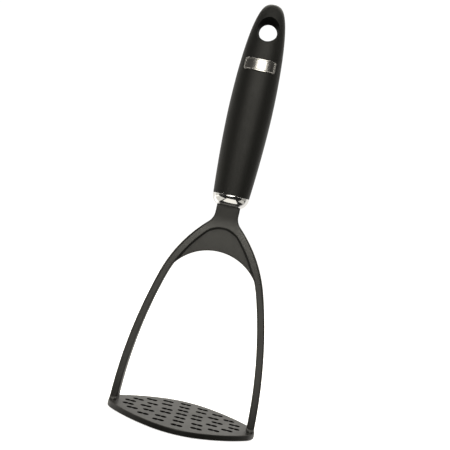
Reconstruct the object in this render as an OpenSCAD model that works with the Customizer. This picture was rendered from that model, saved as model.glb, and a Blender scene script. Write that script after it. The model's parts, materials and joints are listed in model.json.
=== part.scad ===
// Potato masher: a perforated plate under a forked nylon head, with a collar and a soft grip.
// The plate's underside lies on Z = 0, its length runs along X, and the badge faces -Y.
// All lengths are in millimetres and all angles in degrees.

/* [Plate] */
// Length of the plate, tip to tip
plate_l = 102.4; // [94:0.2:112]
// Width of the plate, front to back
plate_w = 72.6; // [66:0.2:80]
// Thickness of the plate
plate_t = 3.8; // [3.2:0.1:5]
// Radius of the plate's two tips
tip_r = 18; // [16:0.5:20]
// Radius of the plate's front and back points
apex_r = 42; // [34:0.5:48]
// Radius of the plate's four long sides
side_r = 90; // [80:1:120]

/* [Mashing slots] */
// Diameter of the two round ends of a slot
slot_d = 4.1; // [3.6:0.1:4.4]
// Distance between the two round ends of a slot
slot_span = 3.7; // [3.4:0.1:4.4]
// Width of a slot between its round ends
slot_waist = 2.2; // [1.4:0.1:2.6]

/* [Foot sockets] */
// Height of a socket above the plate
socket_h = 2.6; // [1.6:0.1:5]
// Ledge of a socket in front of and behind the arm
socket_ledge = 2.1; // [1.2:0.1:3]
// Wall of a socket on both sides of the foot
socket_wall = 0.8; // [0.6:0.1:1]
// Width of the tongue that runs through the plate
tongue_w = 2.4; // [2:0.1:2.8]
// Depth of the tongue, front to back
tongue_t = 6.6; // [4:0.1:8]
// Width that the staked end of the tongue adds on each side
stake_lip = 0.7; // [0.4:0.1:0.9]
// Height of the staked end of the tongue
stake_h = 1; // [0.6:0.1:1.4]
// How far the staked end lies above the plate's underside
stake_sink = 0.2; // [0.1:0.05:0.4]
// Gap between a foot and its socket
foot_gap = 0.1; // [0.05:0.01:0.2]

/* [Yoke] */
// Distance from the plate's tip to the outer face of an arm
tip_margin = 0.9; // [0.9:0.1:3]
// Width of an arm, seen from the front
arm_w = 5.2; // [4.8:0.1:6]
// Depth of an arm at its foot, front to back
foot_t = 10.5; // [9:0.1:13]
// Thickness of the neck, the band and the upper arms
yoke_t = 5.6; // [4.8:0.1:8]
// Radius of the lower part of an arm
bow_low_r = 336; // [300:1:420]
// Radius of the upper part of an arm
bow_high_r = 94.7; // [86:0.1:106]
// Height at which the two radii of an arm meet
bow_join_z = 94.7; // [88:0.1:100]
// Radius between the arms and the neck
shoulder_r = 9.7; // [7:0.1:14]
// Width of the neck
neck_w = 16; // [14.4:0.2:18]
// Length of the neck between the shoulders and the collar
neck_l = 5.7; // [4:0.1:14]
// Thickness of the web between the arms
web_t = 3.2; // [2:0.1:4.4]
// Radius of the web's recess at its top
recess_r = 15.5; // [12:0.5:19]
// Height of the web in the middle, from the arch to the top of the recess
web_h = 16.4; // [12:0.1:19]
// Height from the web's lower ends to the top of the recess
web_drop = 30.7; // [27:0.1:35]

/* [Tang] */
// Width of the tang inside the handle
tang_w = 11.6; // [8:0.1:12.4]
// Thickness of the tang
tang_t = 4.2; // [3:0.1:4.6]
// Length of the tang above the neck
tang_l = 52; // [36:1:64]
// Gap around the tang in the handle core
tang_gap = 0.15; // [0.05:0.01:0.3]
// Diameter of the cross pin
pin_d = 3; // [2:0.1:4]
// Gap around the pin in the tang
pin_gap = 0.05; // [0.02:0.01:0.1]
// Distance of the pin from the tang's upper end
pin_drop = 14; // [6:1:24]
// How far each end of the pin lies below the core's surface
pin_sink = 0.4; // [0.2:0.1:1]

/* [Collar] */
// Height of the collar
collar_h = 7.1; // [6:0.1:8]
// Radius of the bowl of the collar
collar_r = 8.6; // [8.2:0.1:14]
// How far the collar stands out from the grip
collar_lip = 0.2; // [0:0.05:0.4]
// Thickness of the collar's wall around the core
collar_wall = 1.2; // [0.8:0.1:1.4]
// Thickness of the collar's floor
collar_floor = 1.8; // [1.4:0.1:2.4]
// Depth of the seat of the neck in the collar's floor
neck_seat = 0.8; // [0.4:0.1:1]
// Gap between the collar and what it holds
collar_gap = 0.1; // [0.05:0.01:0.2]

/* [Grip] */
// Length of the grip above the collar
grip_l = 133.2; // [120:0.1:150]
// Largest width of the grip
grip_w = 30.3; // [28:0.1:34]
// Largest thickness of the grip, front to back
grip_t = 22; // [20:0.1:25]
// Width of the grip at the collar
grip_low_w = 25; // [24:0.1:27]
// Thickness of the grip at the collar
grip_low_t = 18.8; // [18:0.1:20]
// Thickness that the grip tends to at its end
grip_end_t = 12; // [11:0.1:15]
// Height of the widest place above the collar
widest_u = 58.7; // [50:0.1:66]
// Thickness of the soft sleeve over the core
sleeve_t = 2.2; // [1.9:0.1:2.6]

/* [Hanging hole] */
// Diameter of the hanging hole
hole_d = 12.2; // [9:0.1:12.6]
// Distance of the hole's centre from the end of the grip
hole_drop = 19.7; // [18:0.1:22]
// Length of the straight part of the hole
land_l = 1.6; // [1:0.1:6]
// Width of the flared mouth of the hole
mouth_w = 14.2; // [13:0.1:15]
// Height of the flared mouth of the hole
mouth_h = 19; // [16:0.1:20]
// Thickness of the soft lining around the hole
lining_t = 1.6; // [1:0.1:2]

/* [Badge] */
// Width of the badge
badge_w = 21; // [16:0.1:23]
// Height of the badge
badge_h = 8.2; // [6:0.1:10]
// Radius of the badge's corners
badge_r = 1.2; // [0.6:0.1:2]
// Thickness of the badge
badge_t = 1.1; // [0.8:0.1:1.3]
// How far the badge's frame stands out from the grip
badge_proud = 0.3; // [0.1:0.05:0.4]
// Width of the badge's raised frame
frame_w = 0.8; // [0.5:0.1:1.2]
// Height of the frame above the bare field
frame_h = 0.25; // [0.1:0.05:0.4]
// Distance of the badge's centre from the end of the grip
badge_drop = 43.8; // [41:0.1:50]
// Gap between the badge and the edge of its recess
badge_gap = 0.15; // [0.05:0.01:0.3]
// Thickness of the adhesive pad under the badge
pad_t = 0.3; // [0.2:0.05:0.5]
// How far the pad's edge lies inside the badge's edge
pad_inset = 0.6; // [0.3:0.1:1.2]

/* [Hidden] */

nylon_colour = [0.24, 0.23, 0.21];
grip_colour = [0.13, 0.13, 0.12];
core_colour = [0.2, 0.2, 0.2];
chrome_colour = [0.82, 0.82, 0.83];
steel_colour = [0.6, 0.6, 0.62];
pad_colour = [0.9, 0.9, 0.88];

// Length by which a cutting solid runs past the face that it cuts
past = 1;
// Angle of an arc between two of its points
arc_angle = 3;
// Pieces round a lofted form, and exponent of its superellipse
loft_sides = 32;
loft_power = 2.3;
// Pieces of the grip's length below and above its widest place
low_rings = 8;
high_rings = 12;
// Angle at which the rounded end of the grip turns into its small flat top
end_angle = 86;
// Pieces of the collar's height, and of the arms' taper
collar_rings = 8;
taper_steps = 24;

// Places of the slots in one quarter of the plate, as shares of its half length and half width
slot_places = [
    [0, 0], [0, 0.26], [0, 0.503], [0, 0.765],
    [0.209, 0.118], [0.241, 0.435], [0.247, 0.69],
    [0.488, 0], [0.423, 0.242], [0.466, 0.532],
    [0.718, 0.117], [0.634, 0.333]
];

// Plate: centres of its three arcs in one quarter, and the angles where they meet
tip_centre = [plate_l / 2 - tip_r, 0];
apex_centre = [0, plate_w / 2 - apex_r];
centre_gap = norm(apex_centre - tip_centre);
centre_turn = atan2(apex_centre.y - tip_centre.y, apex_centre.x - tip_centre.x);
along = (pow(side_r - tip_r, 2) - pow(side_r - apex_r, 2) + pow(centre_gap, 2)) / (2 * centre_gap);
across = sqrt(pow(side_r - tip_r, 2) - pow(along, 2));
side_centre = tip_centre + along * [cos(centre_turn), sin(centre_turn)]
    + across * [-sin(centre_turn), cos(centre_turn)];
tip_turn = atan2(tip_centre.y - side_centre.y, tip_centre.x - side_centre.x);
apex_turn = atan2(apex_centre.y - side_centre.y, apex_centre.x - side_centre.x);

// Yoke, seen from the front: centres of the arms' arcs, of the shoulder and of the recess
arm_reach = plate_l / 2 - tip_margin;
foot_x = arm_reach - arm_w / 2;
foot_w = arm_w - 2 * (socket_wall + foot_gap);
low_centre = [arm_reach - bow_low_r, 0];
join_turn = asin(bow_join_z / bow_low_r);
high_centre = low_centre + (bow_low_r - bow_high_r) * [cos(join_turn), sin(join_turn)];
shoulder_x = neck_w / 2 + shoulder_r;
shoulder_z = high_centre.y + sqrt(pow(bow_high_r + shoulder_r, 2) - pow(shoulder_x - high_centre.x, 2));
shoulder_turn = atan2(shoulder_z - high_centre.y, shoulder_x - high_centre.x);
recess_z = high_centre.y + sqrt(pow(bow_high_r - arm_w - recess_r, 2) - pow(high_centre.x, 2));
recess_turn = atan2(recess_z - high_centre.y, -high_centre.x);

// Arch under the web: it ends where it meets the inside of the arms
web_end_z = recess_z + recess_r - web_drop;
web_end_x = high_centre.x + sqrt(pow(bow_high_r - arm_w, 2) - pow(web_end_z - high_centre.y, 2));
arch_rise = web_drop - web_h;
arch_r = (pow(web_end_x, 2) + pow(arch_rise, 2)) / (2 * arch_rise);

// Heights of the stack, from the plate to the end of the grip
socket_z = plate_t + socket_h;
seat_z = socket_z + foot_gap;
collar_z = shoulder_z + neck_l;
neck_top_z = collar_z + neck_seat;
pin_z = neck_top_z + tang_l - pin_drop;
grip_z = collar_z + collar_h;
hole_z = grip_z + grip_l - hole_drop;
badge_z = grip_z + grip_l - badge_drop;

// ---- Outlines ----

// Points of an arc from angle a0 up to, and without, angle a1
function arc(centre, r, a0, a1) =
    let (count = max(2, ceil(abs(a1 - a0) / arc_angle)))
    [for (i = [0 : count - 1]) let (a = a0 + (a1 - a0) * i / count) centre + r * [cos(a), sin(a)]];

// A whole outline from the quarter that runs from the X axis to the Y axis
function four_fold(quarter) =
    let (last = len(quarter) - 1)
    concat(
        quarter,
        [for (i = [last - 1 : -1 : 0]) [-quarter[i].x, quarter[i].y]],
        [for (i = [1 : last]) [-quarter[i].x, -quarter[i].y]],
        [for (i = [last - 1 : -1 : 1]) [quarter[i].x, -quarter[i].y]]
    );

// A whole outline from its right half, given from the bottom up
function two_fold(half) =
    concat(half, [for (i = [len(half) - 1 : -1 : 0]) if (half[i].x > 0) [-half[i].x, half[i].y]]);

// A rectangle with round corners, centred on the origin
function rounded_rect(w, h, r) =
    four_fold(concat([[w / 2, 0]], arc([w / 2 - r, h / 2 - r], r, 0, 90), [[w / 2 - r, h / 2], [0, h / 2]]));

// Stretches an outline in the XZ plane front to back by t, centred on Y = 0
module front_extrude(t) {
    rotate([90, 0, 0])
        linear_extrude(t, center = true)
            children();
}

// ---- Lofted forms ----

function signed_power(v, p) = sign(v) * pow(abs(v), p);

// Outline of a superellipse with half axes a and b
function oval(a, b) = [
    for (i = [0 : loft_sides - 1])
        let (turn = 360 * i / loft_sides)
        [a * signed_power(cos(turn), 2 / loft_power), b * signed_power(sin(turn), 2 / loft_power)]
];

// A solid through oval sections, each given as [height, half width, half thickness]
module loft(sections) {
    last = len(sections) - 1;
    points = [for (s = sections) for (p = oval(s[1], s[2])) [p.x, p.y, s[0]]];
    walls = [
        for (i = [0 : last - 1])
            for (j = [0 : loft_sides - 1])
                let (
                    a = i * loft_sides + j,
                    b = i * loft_sides + (j + 1) % loft_sides,
                    c = b + loft_sides,
                    d = a + loft_sides
                )
                for (triangle = [[a, c, b], [a, d, c]]) triangle
    ];
    bottom = [for (j = [0 : loft_sides - 1]) j];
    top = [for (j = [loft_sides - 1 : -1 : 0]) last * loft_sides + j];
    polyhedron(points, concat(walls, [bottom, top]));
}

// Half size of the grip below its widest place, from its half sizes at the collar and there
function swell(u, low, wide) = wide - (wide - low) * pow(1 - u / widest_u, 1.75);

// Half thickness of the grip above its widest place, at a share of the way to its end
function end_half_t(share) =
    (grip_t - (grip_t - grip_end_t) * pow(share, 2)) / 2;

// Sections of the grip, drawn in by e on every side
function grip_sections(e) = concat(
    [for (i = [0 : low_rings])
        let (u = widest_u * i / low_rings)
        [grip_z + u, swell(u, grip_low_w / 2, grip_w / 2) - e, swell(u, grip_low_t / 2, grip_t / 2) - e]],
    [for (i = [1 : high_rings])
        let (
            turn = end_angle * i / high_rings,
            share = sin(turn) / sin(end_angle)
        )
        [
            grip_z + widest_u + (grip_l - e - widest_u) * share,
            (grip_w / 2 - e) * pow(cos(turn), 0.64),
            (end_half_t(share) - e) * pow(cos(turn), 0.4)
        ]]
);

// The grip's form, drawn in by e, and lengthened below the collar's top by extra
module grip_form(e, extra = 0) {
    sections = grip_sections(e);
    foot = sections[0];
    loft(extra > 0 ? concat([[foot[0] - extra, foot[1], foot[2]]], sections) : sections);
}

// Half thickness of the grip at a height above its widest place
function grip_half_t(z) =
    let (
        share = (z - grip_z - widest_u) / (grip_l - widest_u),
        turn = asin(share * sin(end_angle))
    )
    end_half_t(share) * pow(cos(turn), 0.4);

// ---- Plate ----

module plate_outline() {
    polygon(four_fold(concat(
        arc(tip_centre, tip_r, 0, tip_turn),
        arc(side_centre, side_r, tip_turn, apex_turn),
        arc(apex_centre, apex_r, apex_turn, 90),
        [[0, plate_w / 2]]
    )));
}

// One slot: two round holes joined by a narrower waist
module slot_outline() {
    for (side = [-1, 1])
        translate([side * slot_span / 2, 0])
            circle(d = slot_d, $fn = 32);
    square([slot_span, slot_waist], center = true);
}

// Every slot of the plate, mirrored from one quarter without drawing any twice
module slot_field() {
    for (place = slot_places)
        for (x_side = place.x > 0 ? [-1, 1] : [1])
            for (y_side = place.y > 0 ? [-1, 1] : [1])
                translate([x_side * place.x * plate_l / 2, y_side * place.y * plate_w / 2])
                    slot_outline();
}

// Plan of both sockets, which are as wide as the arms and have round ends
module socket_outline() {
    end_y = foot_t / 2 + foot_gap + socket_ledge - arm_w / 2;
    intersection() {
        plate_outline();
        for (side = [-1, 1])
            hull()
                for (way = [-1, 1])
                    translate([side * foot_x, way * end_y])
                        circle(d = arm_w, $fn = 40);
    }
}

module mash_plate() {
    color(nylon_colour)
        difference() {
            union() {
                linear_extrude(plate_t)
                    difference() {
                        plate_outline();
                        slot_field();
                    }
                linear_extrude(socket_z)
                    socket_outline();
            }
            for (side = [-1, 1])
                translate([side * foot_x, 0, 0])
                    foot_form(foot_gap, past);
        }
}

// What a foot fills in the plate, grown by gap, and lengthened past the faces that it cuts
module foot_form(gap, extra = 0) {
    stake_w = tongue_w + 2 * stake_lip;
    stake_t = tongue_t + 2 * stake_lip;
    if (extra > 0)
        translate([0, 0, plate_t + (socket_h + extra) / 2])
            cube([foot_w + 2 * gap, foot_t + 2 * gap, socket_h + extra], center = true);
    translate([0, 0, plate_t / 2 + stake_sink / 2])
        cube([tongue_w + 2 * gap, tongue_t + 2 * gap, plate_t - stake_sink], center = true);
    translate([0, 0, stake_sink + stake_h / 2 - extra / 2])
        cube([stake_w + 2 * gap, stake_t + 2 * gap, stake_h + extra], center = true);
}

// ---- Yoke ----

// Outside of the arms and the neck, with the narrower feet down to the plate's top
module yoke_outline() {
    seat_turn = asin(seat_z / bow_low_r);
    polygon(two_fold(concat(
        [[foot_x + foot_w / 2, plate_t], [foot_x + foot_w / 2, seat_z]],
        arc(low_centre, bow_low_r, seat_turn, join_turn),
        arc(high_centre, bow_high_r, join_turn, shoulder_turn),
        arc([shoulder_x, shoulder_z], shoulder_r, 180 + shoulder_turn, 180),
        [[neck_w / 2, shoulder_z], [neck_w / 2, neck_top_z]]
    )));
}

// Inside of the arms, closed above by the top of the web's recess
module window_outline() {
    seat_turn = asin(seat_z / (bow_low_r - arm_w));
    polygon(two_fold(concat(
        [[foot_x - foot_w / 2, plate_t - past], [foot_x - foot_w / 2, seat_z]],
        arc(low_centre, bow_low_r - arm_w, seat_turn, join_turn),
        arc(high_centre, bow_high_r - arm_w, join_turn, recess_turn),
        arc([0, recess_z], recess_r, recess_turn, 90),
        [[0, recess_z + recess_r]]
    )));
}

// Side view of the yoke: thin at the band and deeper towards the feet
module side_outline() {
    taper = [
        for (i = [0 : taper_steps])
            let (share = i / taper_steps)
            [
                yoke_t / 2 + (foot_t - yoke_t) / 2 * (1 + cos(180 * share)) / 2,
                seat_z + (web_end_z - seat_z) * share
            ]
    ];
    polygon(two_fold(concat([[foot_t / 2, plate_t]], taper, [[yoke_t / 2, neck_top_z]])));
}

module yoke() {
    color(nylon_colour)
        difference() {
            union() {
                intersection() {
                    front_extrude(foot_t + 2 * past)
                        difference() {
                            yoke_outline();
                            window_outline();
                        }
                    rotate([90, 0, 90])
                        linear_extrude(plate_l, center = true)
                            side_outline();
                }
                front_extrude(web_t)
                    difference() {
                        yoke_outline();
                        translate([0, web_end_z + arch_rise - arch_r])
                            circle(arch_r, $fn = 96);
                        translate([-plate_l / 2, 0])
                            square([plate_l, web_end_z]);
                    }
                translate([-tang_w / 2, -tang_t / 2, neck_top_z - past])
                    cube([tang_w, tang_t, tang_l + past]);
                for (side = [-1, 1])
                    translate([side * foot_x, 0, 0])
                        foot_form(0);
            }
            pin_bore(pin_d + 2 * pin_gap);
        }
}

// A bore for the cross pin, right through whatever it is taken from
module pin_bore(d) {
    translate([0, 0, pin_z])
        rotate([90, 0, 0])
            cylinder(d = d, h = grip_t + 2 * past, center = true, $fn = 48);
}

// ---- Collar ----

// How far the bowl is drawn in at a height above its lower edge
function bowl_inset(v) = collar_r - sqrt(pow(collar_r, 2) - pow(collar_h - v, 2));

// Half sizes of the collar at a height above its lower edge
function collar_half(v) =
    [grip_low_w / 2 + collar_lip - bowl_inset(v), grip_low_t / 2 + collar_lip - bowl_inset(v)];

// Plan of the core's foot in the collar, drawn in by gap
module core_foot_outline(gap) {
    half = collar_half(collar_floor) - [collar_wall, collar_wall];
    polygon(oval(half.x - gap, half.y - gap));
}

module collar() {
    sections = [
        for (i = [0 : collar_rings])
            let (v = collar_h * i / collar_rings, half = collar_half(v))
            [collar_z + v, half.x, half.y]
    ];
    color(chrome_colour)
        difference() {
            loft(sections);
            translate([0, 0, collar_z + collar_floor])
                linear_extrude(collar_h)
                    core_foot_outline(0);
            translate([0, 0, collar_z])
                cube([neck_w + 2 * collar_gap, yoke_t + 2 * collar_gap, 2 * neck_seat], center = true);
            translate([0, 0, collar_z])
                cube([tang_w + 2 * collar_gap, tang_t + 2 * collar_gap, 2 * collar_h], center = true);
        }
}

// ---- Handle ----

module tang_pin() {
    half = swell(pin_z - grip_z, grip_low_t / 2, grip_t / 2) - sleeve_t - pin_sink;
    color(steel_colour)
        translate([0, 0, pin_z])
            rotate([90, 0, 0])
                cylinder(d = pin_d, h = 2 * half, center = true, $fn = 48);
}

// The hanging hole with its flared mouths, grown by extra
module hanging_hole(extra = 0) {
    half_t = grip_half_t(hole_z);
    mouth = rounded_rect(mouth_w + 2 * extra, mouth_h + 2 * extra, mouth_w / 2 + extra - 0.01);
    translate([0, 0, hole_z]) {
        rotate([90, 0, 0])
            cylinder(d = hole_d + 2 * extra, h = grip_t, center = true, $fn = 64);
        for (side = [-1, 1])
            rotate([90 * side, 0, 0]) {
                hull() {
                    translate([0, 0, land_l / 2])
                        linear_extrude(0.01)
                            circle(d = hole_d + 2 * extra, $fn = 32);
                    translate([0, 0, half_t])
                        linear_extrude(0.01)
                            polygon(mouth);
                }
                translate([0, 0, half_t])
                    linear_extrude(grip_t / 2)
                        polygon(mouth);
            }
    }
}

// Outside of the core, which is also the inside of the sleeve
module core_form(extra = 0) {
    difference() {
        grip_form(sleeve_t, extra);
        hanging_hole(lining_t);
    }
}

module handle_core() {
    slot_w = tang_w + 2 * tang_gap;
    slot_t = tang_t + 2 * tang_gap;
    foot_z = collar_z + collar_floor + collar_gap;
    color(core_colour)
        difference() {
            union() {
                core_form();
                translate([0, 0, foot_z])
                    linear_extrude(grip_z - foot_z + past)
                        core_foot_outline(collar_gap);
            }
            translate([-slot_w / 2, -slot_t / 2, foot_z - past])
                cube([slot_w, slot_t, neck_top_z + tang_l + tang_gap - foot_z + past]);
            pin_bore(pin_d);
        }
}

// A bar with the badge's outline, w by h, from the middle of the grip out through its front
module badge_bar(w, h) {
    translate([0, -grip_t / 2, badge_z])
        front_extrude(grip_t)
            polygon(rounded_rect(w, h, badge_r));
}

module grip_sleeve() {
    color(grip_colour)
        difference() {
            grip_form(0);
            core_form(past);
            hanging_hole();
            difference() {
                badge_bar(badge_w + 2 * badge_gap, badge_h + 2 * badge_gap);
                grip_form(badge_t - badge_proud + pad_t);
            }
        }
}

module badge_pad() {
    color(pad_colour)
        difference() {
            intersection() {
                badge_bar(badge_w - 2 * pad_inset, badge_h - 2 * pad_inset);
                grip_form(badge_t - badge_proud);
            }
            grip_form(badge_t - badge_proud + pad_t);
        }
}

module badge() {
    color(chrome_colour)
        difference() {
            intersection() {
                badge_bar(badge_w, badge_h);
                grip_form(-badge_proud);
            }
            grip_form(badge_t - badge_proud);
            difference() {
                badge_bar(badge_w - 2 * frame_w, badge_h - 2 * frame_w);
                grip_form(frame_h - badge_proud);
            }
        }
}

mash_plate();
yoke();
collar();
tang_pin();
handle_core();
grip_sleeve();
badge_pad();
badge();
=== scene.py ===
"""Looks of a nylon potato masher with a soft grip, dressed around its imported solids.

The classes of the pieces hold their sizes in millimetres, and Skin turns them into metres when
it makes a mesh. Finishes and the studio are in metres. The frame is that of the solids: the
plate's underside lies on Z = 0, its length runs along X and the badge faces -Y.
"""

import json
import logging
import math
from dataclasses import dataclass, field, replace
from enum import Enum
from functools import cache
from typing import Callable, Iterable, Optional, Sequence

import bmesh
import bpy
import numpy as np
from mathutils import Matrix, Vector


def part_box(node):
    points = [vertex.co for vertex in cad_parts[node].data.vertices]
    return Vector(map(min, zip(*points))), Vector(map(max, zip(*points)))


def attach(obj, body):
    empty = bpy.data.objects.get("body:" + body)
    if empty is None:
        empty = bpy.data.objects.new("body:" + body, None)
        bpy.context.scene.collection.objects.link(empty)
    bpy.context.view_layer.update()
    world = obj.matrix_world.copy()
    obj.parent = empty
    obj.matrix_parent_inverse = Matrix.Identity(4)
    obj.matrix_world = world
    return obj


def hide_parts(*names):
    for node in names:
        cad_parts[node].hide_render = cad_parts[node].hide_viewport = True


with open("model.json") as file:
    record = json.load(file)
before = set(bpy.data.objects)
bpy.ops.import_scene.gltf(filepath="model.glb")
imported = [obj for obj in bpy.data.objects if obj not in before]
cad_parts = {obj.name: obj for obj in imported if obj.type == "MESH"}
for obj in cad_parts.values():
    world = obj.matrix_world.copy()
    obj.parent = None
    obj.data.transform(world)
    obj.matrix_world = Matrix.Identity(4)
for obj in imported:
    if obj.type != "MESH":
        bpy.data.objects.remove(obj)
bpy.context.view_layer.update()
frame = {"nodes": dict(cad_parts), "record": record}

LOG = logging.getLogger("masher")

MM = 0.001
BODY = "root"
MERGE = 2e-6  # metres between vertices that count as one
TINY = 1e-9  # keeps a length from being 0 where it divides
LEAST_CORNER = 0.03  # millimetres, so that a corner keeps all its points apart
FACE_WEIGHT = 80  # how far large faces decide the shading
QUARTER_TURN = np.radians([0.0, 22.5, 45.0, 67.5, 90.0])  # steps over a rounded edge

Amount = float | np.ndarray
Points = np.ndarray
Loop = list[int]


# ---------------------------------------------------------------- plane geometry


@dataclass(frozen=True)
class Arc:
    """Part of a circle in a plane, with its angles in degrees.

    Attributes:
        centre: Centre of the circle.
        radius: Radius of the circle.
        start: Angle at which the arc starts.
        end: Angle at which it ends, below start where it runs clockwise.
        inward: 1 where the material's side is away from the centre, -1 where it is towards it.
    """

    centre: tuple[float, float]
    radius: float
    start: float
    end: float
    inward: int = -1

    @property
    def length(self) -> float:
        """Length along the arc."""
        return abs(math.radians(self.end - self.start)) * self.radius

    def at(self, shares: np.ndarray) -> tuple[Points, Points]:
        """Places on the arc.

        Args:
            shares: Shares of the way along the arc, from 0 to 1.

        Returns:
            The points, and the unit normals that point into the material.
        """
        turn = np.radians(self.start + (self.end - self.start) * shares)
        radial = np.stack([np.cos(turn), np.sin(turn)], axis=1)
        return np.array(self.centre) + self.radius * radial, self.inward * radial


@dataclass(frozen=True)
class Line:
    """A straight stretch in a plane, with the normal that points into the material."""

    start: tuple[float, float]
    end: tuple[float, float]
    normal: tuple[float, float]

    @property
    def length(self) -> float:
        """Length of the stretch."""
        return math.dist(self.start, self.end)

    def at(self, shares: np.ndarray) -> tuple[Points, Points]:
        """Places on the line, as Arc.at gives them.

        Args:
            shares: Shares of the way along the line, from 0 to 1.

        Returns:
            The points, and the unit normals that point into the material.
        """
        start, end = np.array(self.start), np.array(self.end)
        points = start + np.outer(shares, end - start)
        return points, np.tile(np.array(self.normal), (len(points), 1))


@dataclass(frozen=True)
class Rail:
    """Arcs and lines that follow each other without a kink."""

    parts: tuple[Arc | Line, ...]

    def at(self, shares: np.ndarray) -> tuple[Points, Points]:
        """Places along the whole rail.

        Args:
            shares: Shares of the rail's whole length, from 0 to 1, in rising order.

        Returns:
            The points, and the unit normals that point into the material.
        """
        lengths = np.array([part.length for part in self.parts])
        ends = np.cumsum(lengths) / lengths.sum()
        starts = ends - lengths / lengths.sum()
        owner = np.minimum(np.searchsorted(ends, shares, side="left"), len(self.parts) - 1)
        points, normals = np.zeros((len(shares), 2)), np.zeros((len(shares), 2))
        for i, part in enumerate(self.parts):
            mine = owner == i
            local = (shares[mine] - starts[i]) / (ends[i] - starts[i])
            points[mine], normals[mine] = part.at(np.clip(local, 0.0, 1.0))
        return points, normals


def signed_power(value: np.ndarray, power: float) -> np.ndarray:
    """A power of each value's size, with the value's own sign."""
    return np.sign(value) * np.abs(value) ** power


def oval(half_x: float, half_y: float, power: float, count: int) -> Points:
    """Outline of a superellipse round the origin.

    Args:
        half_x: Half its width.
        half_y: Half its height.
        power: Exponent: 2 is an ellipse, and more is squarer.
        count: Number of points.

    Returns:
        The points, anticlockwise from the X axis.
    """
    turn = np.arange(count) * math.tau / count
    x, y = (signed_power(wave(turn), 2 / power) for wave in (np.cos, np.sin))
    return np.column_stack([half_x * x, half_y * y])


def four_fold(quarter: Points) -> Points:
    """A whole outline, anticlockwise, from its quarter between the X axis and the Y axis."""
    left, below, right = quarter[-2::-1] * (-1, 1), quarter[1:] * (-1, -1), quarter[-2:0:-1] * (1, -1)
    return np.concatenate([quarter, left, below, right])


def square_edge(along: int, up: int) -> Points:
    """Places round the edge of a square from -1 to 1, closer together near its corners.

    Args:
        along: Number of places on each edge that runs along X.
        up: Number of places on each edge that runs along Y.

    Returns:
        The places, anticlockwise from the lower left corner.
    """
    run, rise = (-np.cos(np.linspace(0.0, math.pi, count, endpoint=False)) for count in (along, up))
    lower = np.column_stack([run, np.full(along, -1.0)])
    right = np.column_stack([np.full(up, 1.0), rise])
    return np.concatenate([lower, right, -lower, -right])


def rounding(radius: Amount, turns: np.ndarray = QUARTER_TURN) -> list[tuple[Amount, Amount]]:
    """How far each step over a rounded edge is drawn in, and how far it lies below the face."""
    return [(radius * (1 - math.cos(turn)), radius * (1 - math.sin(turn))) for turn in turns]


def rounded_box(square: Points, half_x: float, half_y: float, corner: float) -> Points:
    """Outline of a rectangle with rounded corners, drawn through the places of a square's edge.

    Args:
        square: Places on the edge of a square from -1 to 1.
        half_x: Half the rectangle's width.
        half_y: Half its height.
        corner: Radius of its corners.

    Returns:
        A point for each place.
    """
    half = np.array([max(half_x, 0.0), max(half_y, 0.0)])
    corner = min(max(corner, LEAST_CORNER), half.min())
    flat = square * half
    centre = np.sign(flat) * np.maximum(half - corner, 0.0)
    away = flat - centre
    in_corner = (np.abs(flat) > half - corner).all(axis=1)
    length = np.maximum(np.linalg.norm(away, axis=1), TINY)[:, None]
    return np.where(in_corner[:, None], centre + away / length * corner, flat)


def lifted(outline: Points, height: float) -> Points:
    """A flat outline as points in space, at a height."""
    return np.column_stack([outline, np.full(len(outline), height)])


def upright(places: Points, y: Amount) -> Points:
    """Places seen from the front, as points in space at a distance along Y."""
    return np.column_stack([places[:, 0], np.broadcast_to(y, len(places)), places[:, 1]])


# ---------------------------------------------------------------- meshes


class Skin:
    """Vertices and faces of one piece, gathered loop by loop in millimetres."""

    def __init__(self) -> None:
        """Starts with nothing in it."""
        self.points: list[Sequence[float]] = []
        self.faces: list[tuple[int, ...]] = []

    def loop(self, points: Points) -> Loop:
        """Adds points.

        Args:
            points: The points of one loop.

        Returns:
            Their numbers.
        """
        first = len(self.points)
        self.points.extend(points.tolist())
        return list(range(first, len(self.points)))

    def bridge(self, one: Loop, other: Loop, closed: bool = True) -> None:
        """Joins two loops of the same length with quads.

        Args:
            one: The first loop.
            other: The second loop.
            closed: Whether each loop's last point joins its first.
        """
        for i in range(len(one) - (0 if closed else 1)):
            j = (i + 1) % len(one)
            self.faces.append((one[i], one[j], other[j], other[i]))

    def tube(self, loops: Iterable[Points], closed: bool = True) -> list[Loop]:
        """Adds loops and joins each to the one before it.

        Args:
            loops: Points of each loop.
            closed: Whether each loop's last point joins its first.

        Returns:
            The numbers of each loop.
        """
        made = [self.loop(points) for points in loops]
        for one, other in zip(made, made[1:]):
            self.bridge(one, other, closed)
        return made

    def funnel(self, edge: Loop, loops: Iterable[Points]) -> Loop:
        """Runs from a loop that is there already through new ones inside it.

        Args:
            edge: The outermost loop.
            loops: Points of each further loop.

        Returns:
            The innermost loop.
        """
        for points in loops:
            inner = self.loop(points)
            self.bridge(edge, inner)
            edge = inner
        return edge

    def mirror(self, axis: int) -> None:
        """Adds a mirrored copy of everything so far.

        Args:
            axis: Number of the axis that is turned round.
        """
        first = len(self.points)
        turned = np.array(self.points)
        turned[:, axis] *= -1
        self.points.extend(turned.tolist())
        self.faces.extend([tuple(first + v for v in reversed(face)) for face in list(self.faces)])

    def build(self, name: str, outward: bool = True) -> bpy.types.Object:
        """Makes the mesh, in metres, with its doubles merged and its faces pointing outwards.

        Args:
            name: Name of the object.
            outward: Whether to turn the faces of a closed form outwards.

        Returns:
            The object, linked to the scene.
        """
        mesh = bpy.data.meshes.new(name)
        mesh.from_pydata((np.array(self.points) * MM).tolist(), [], self.faces)
        tidy_mesh(mesh, outward)
        return add_object(name, mesh)


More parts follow.
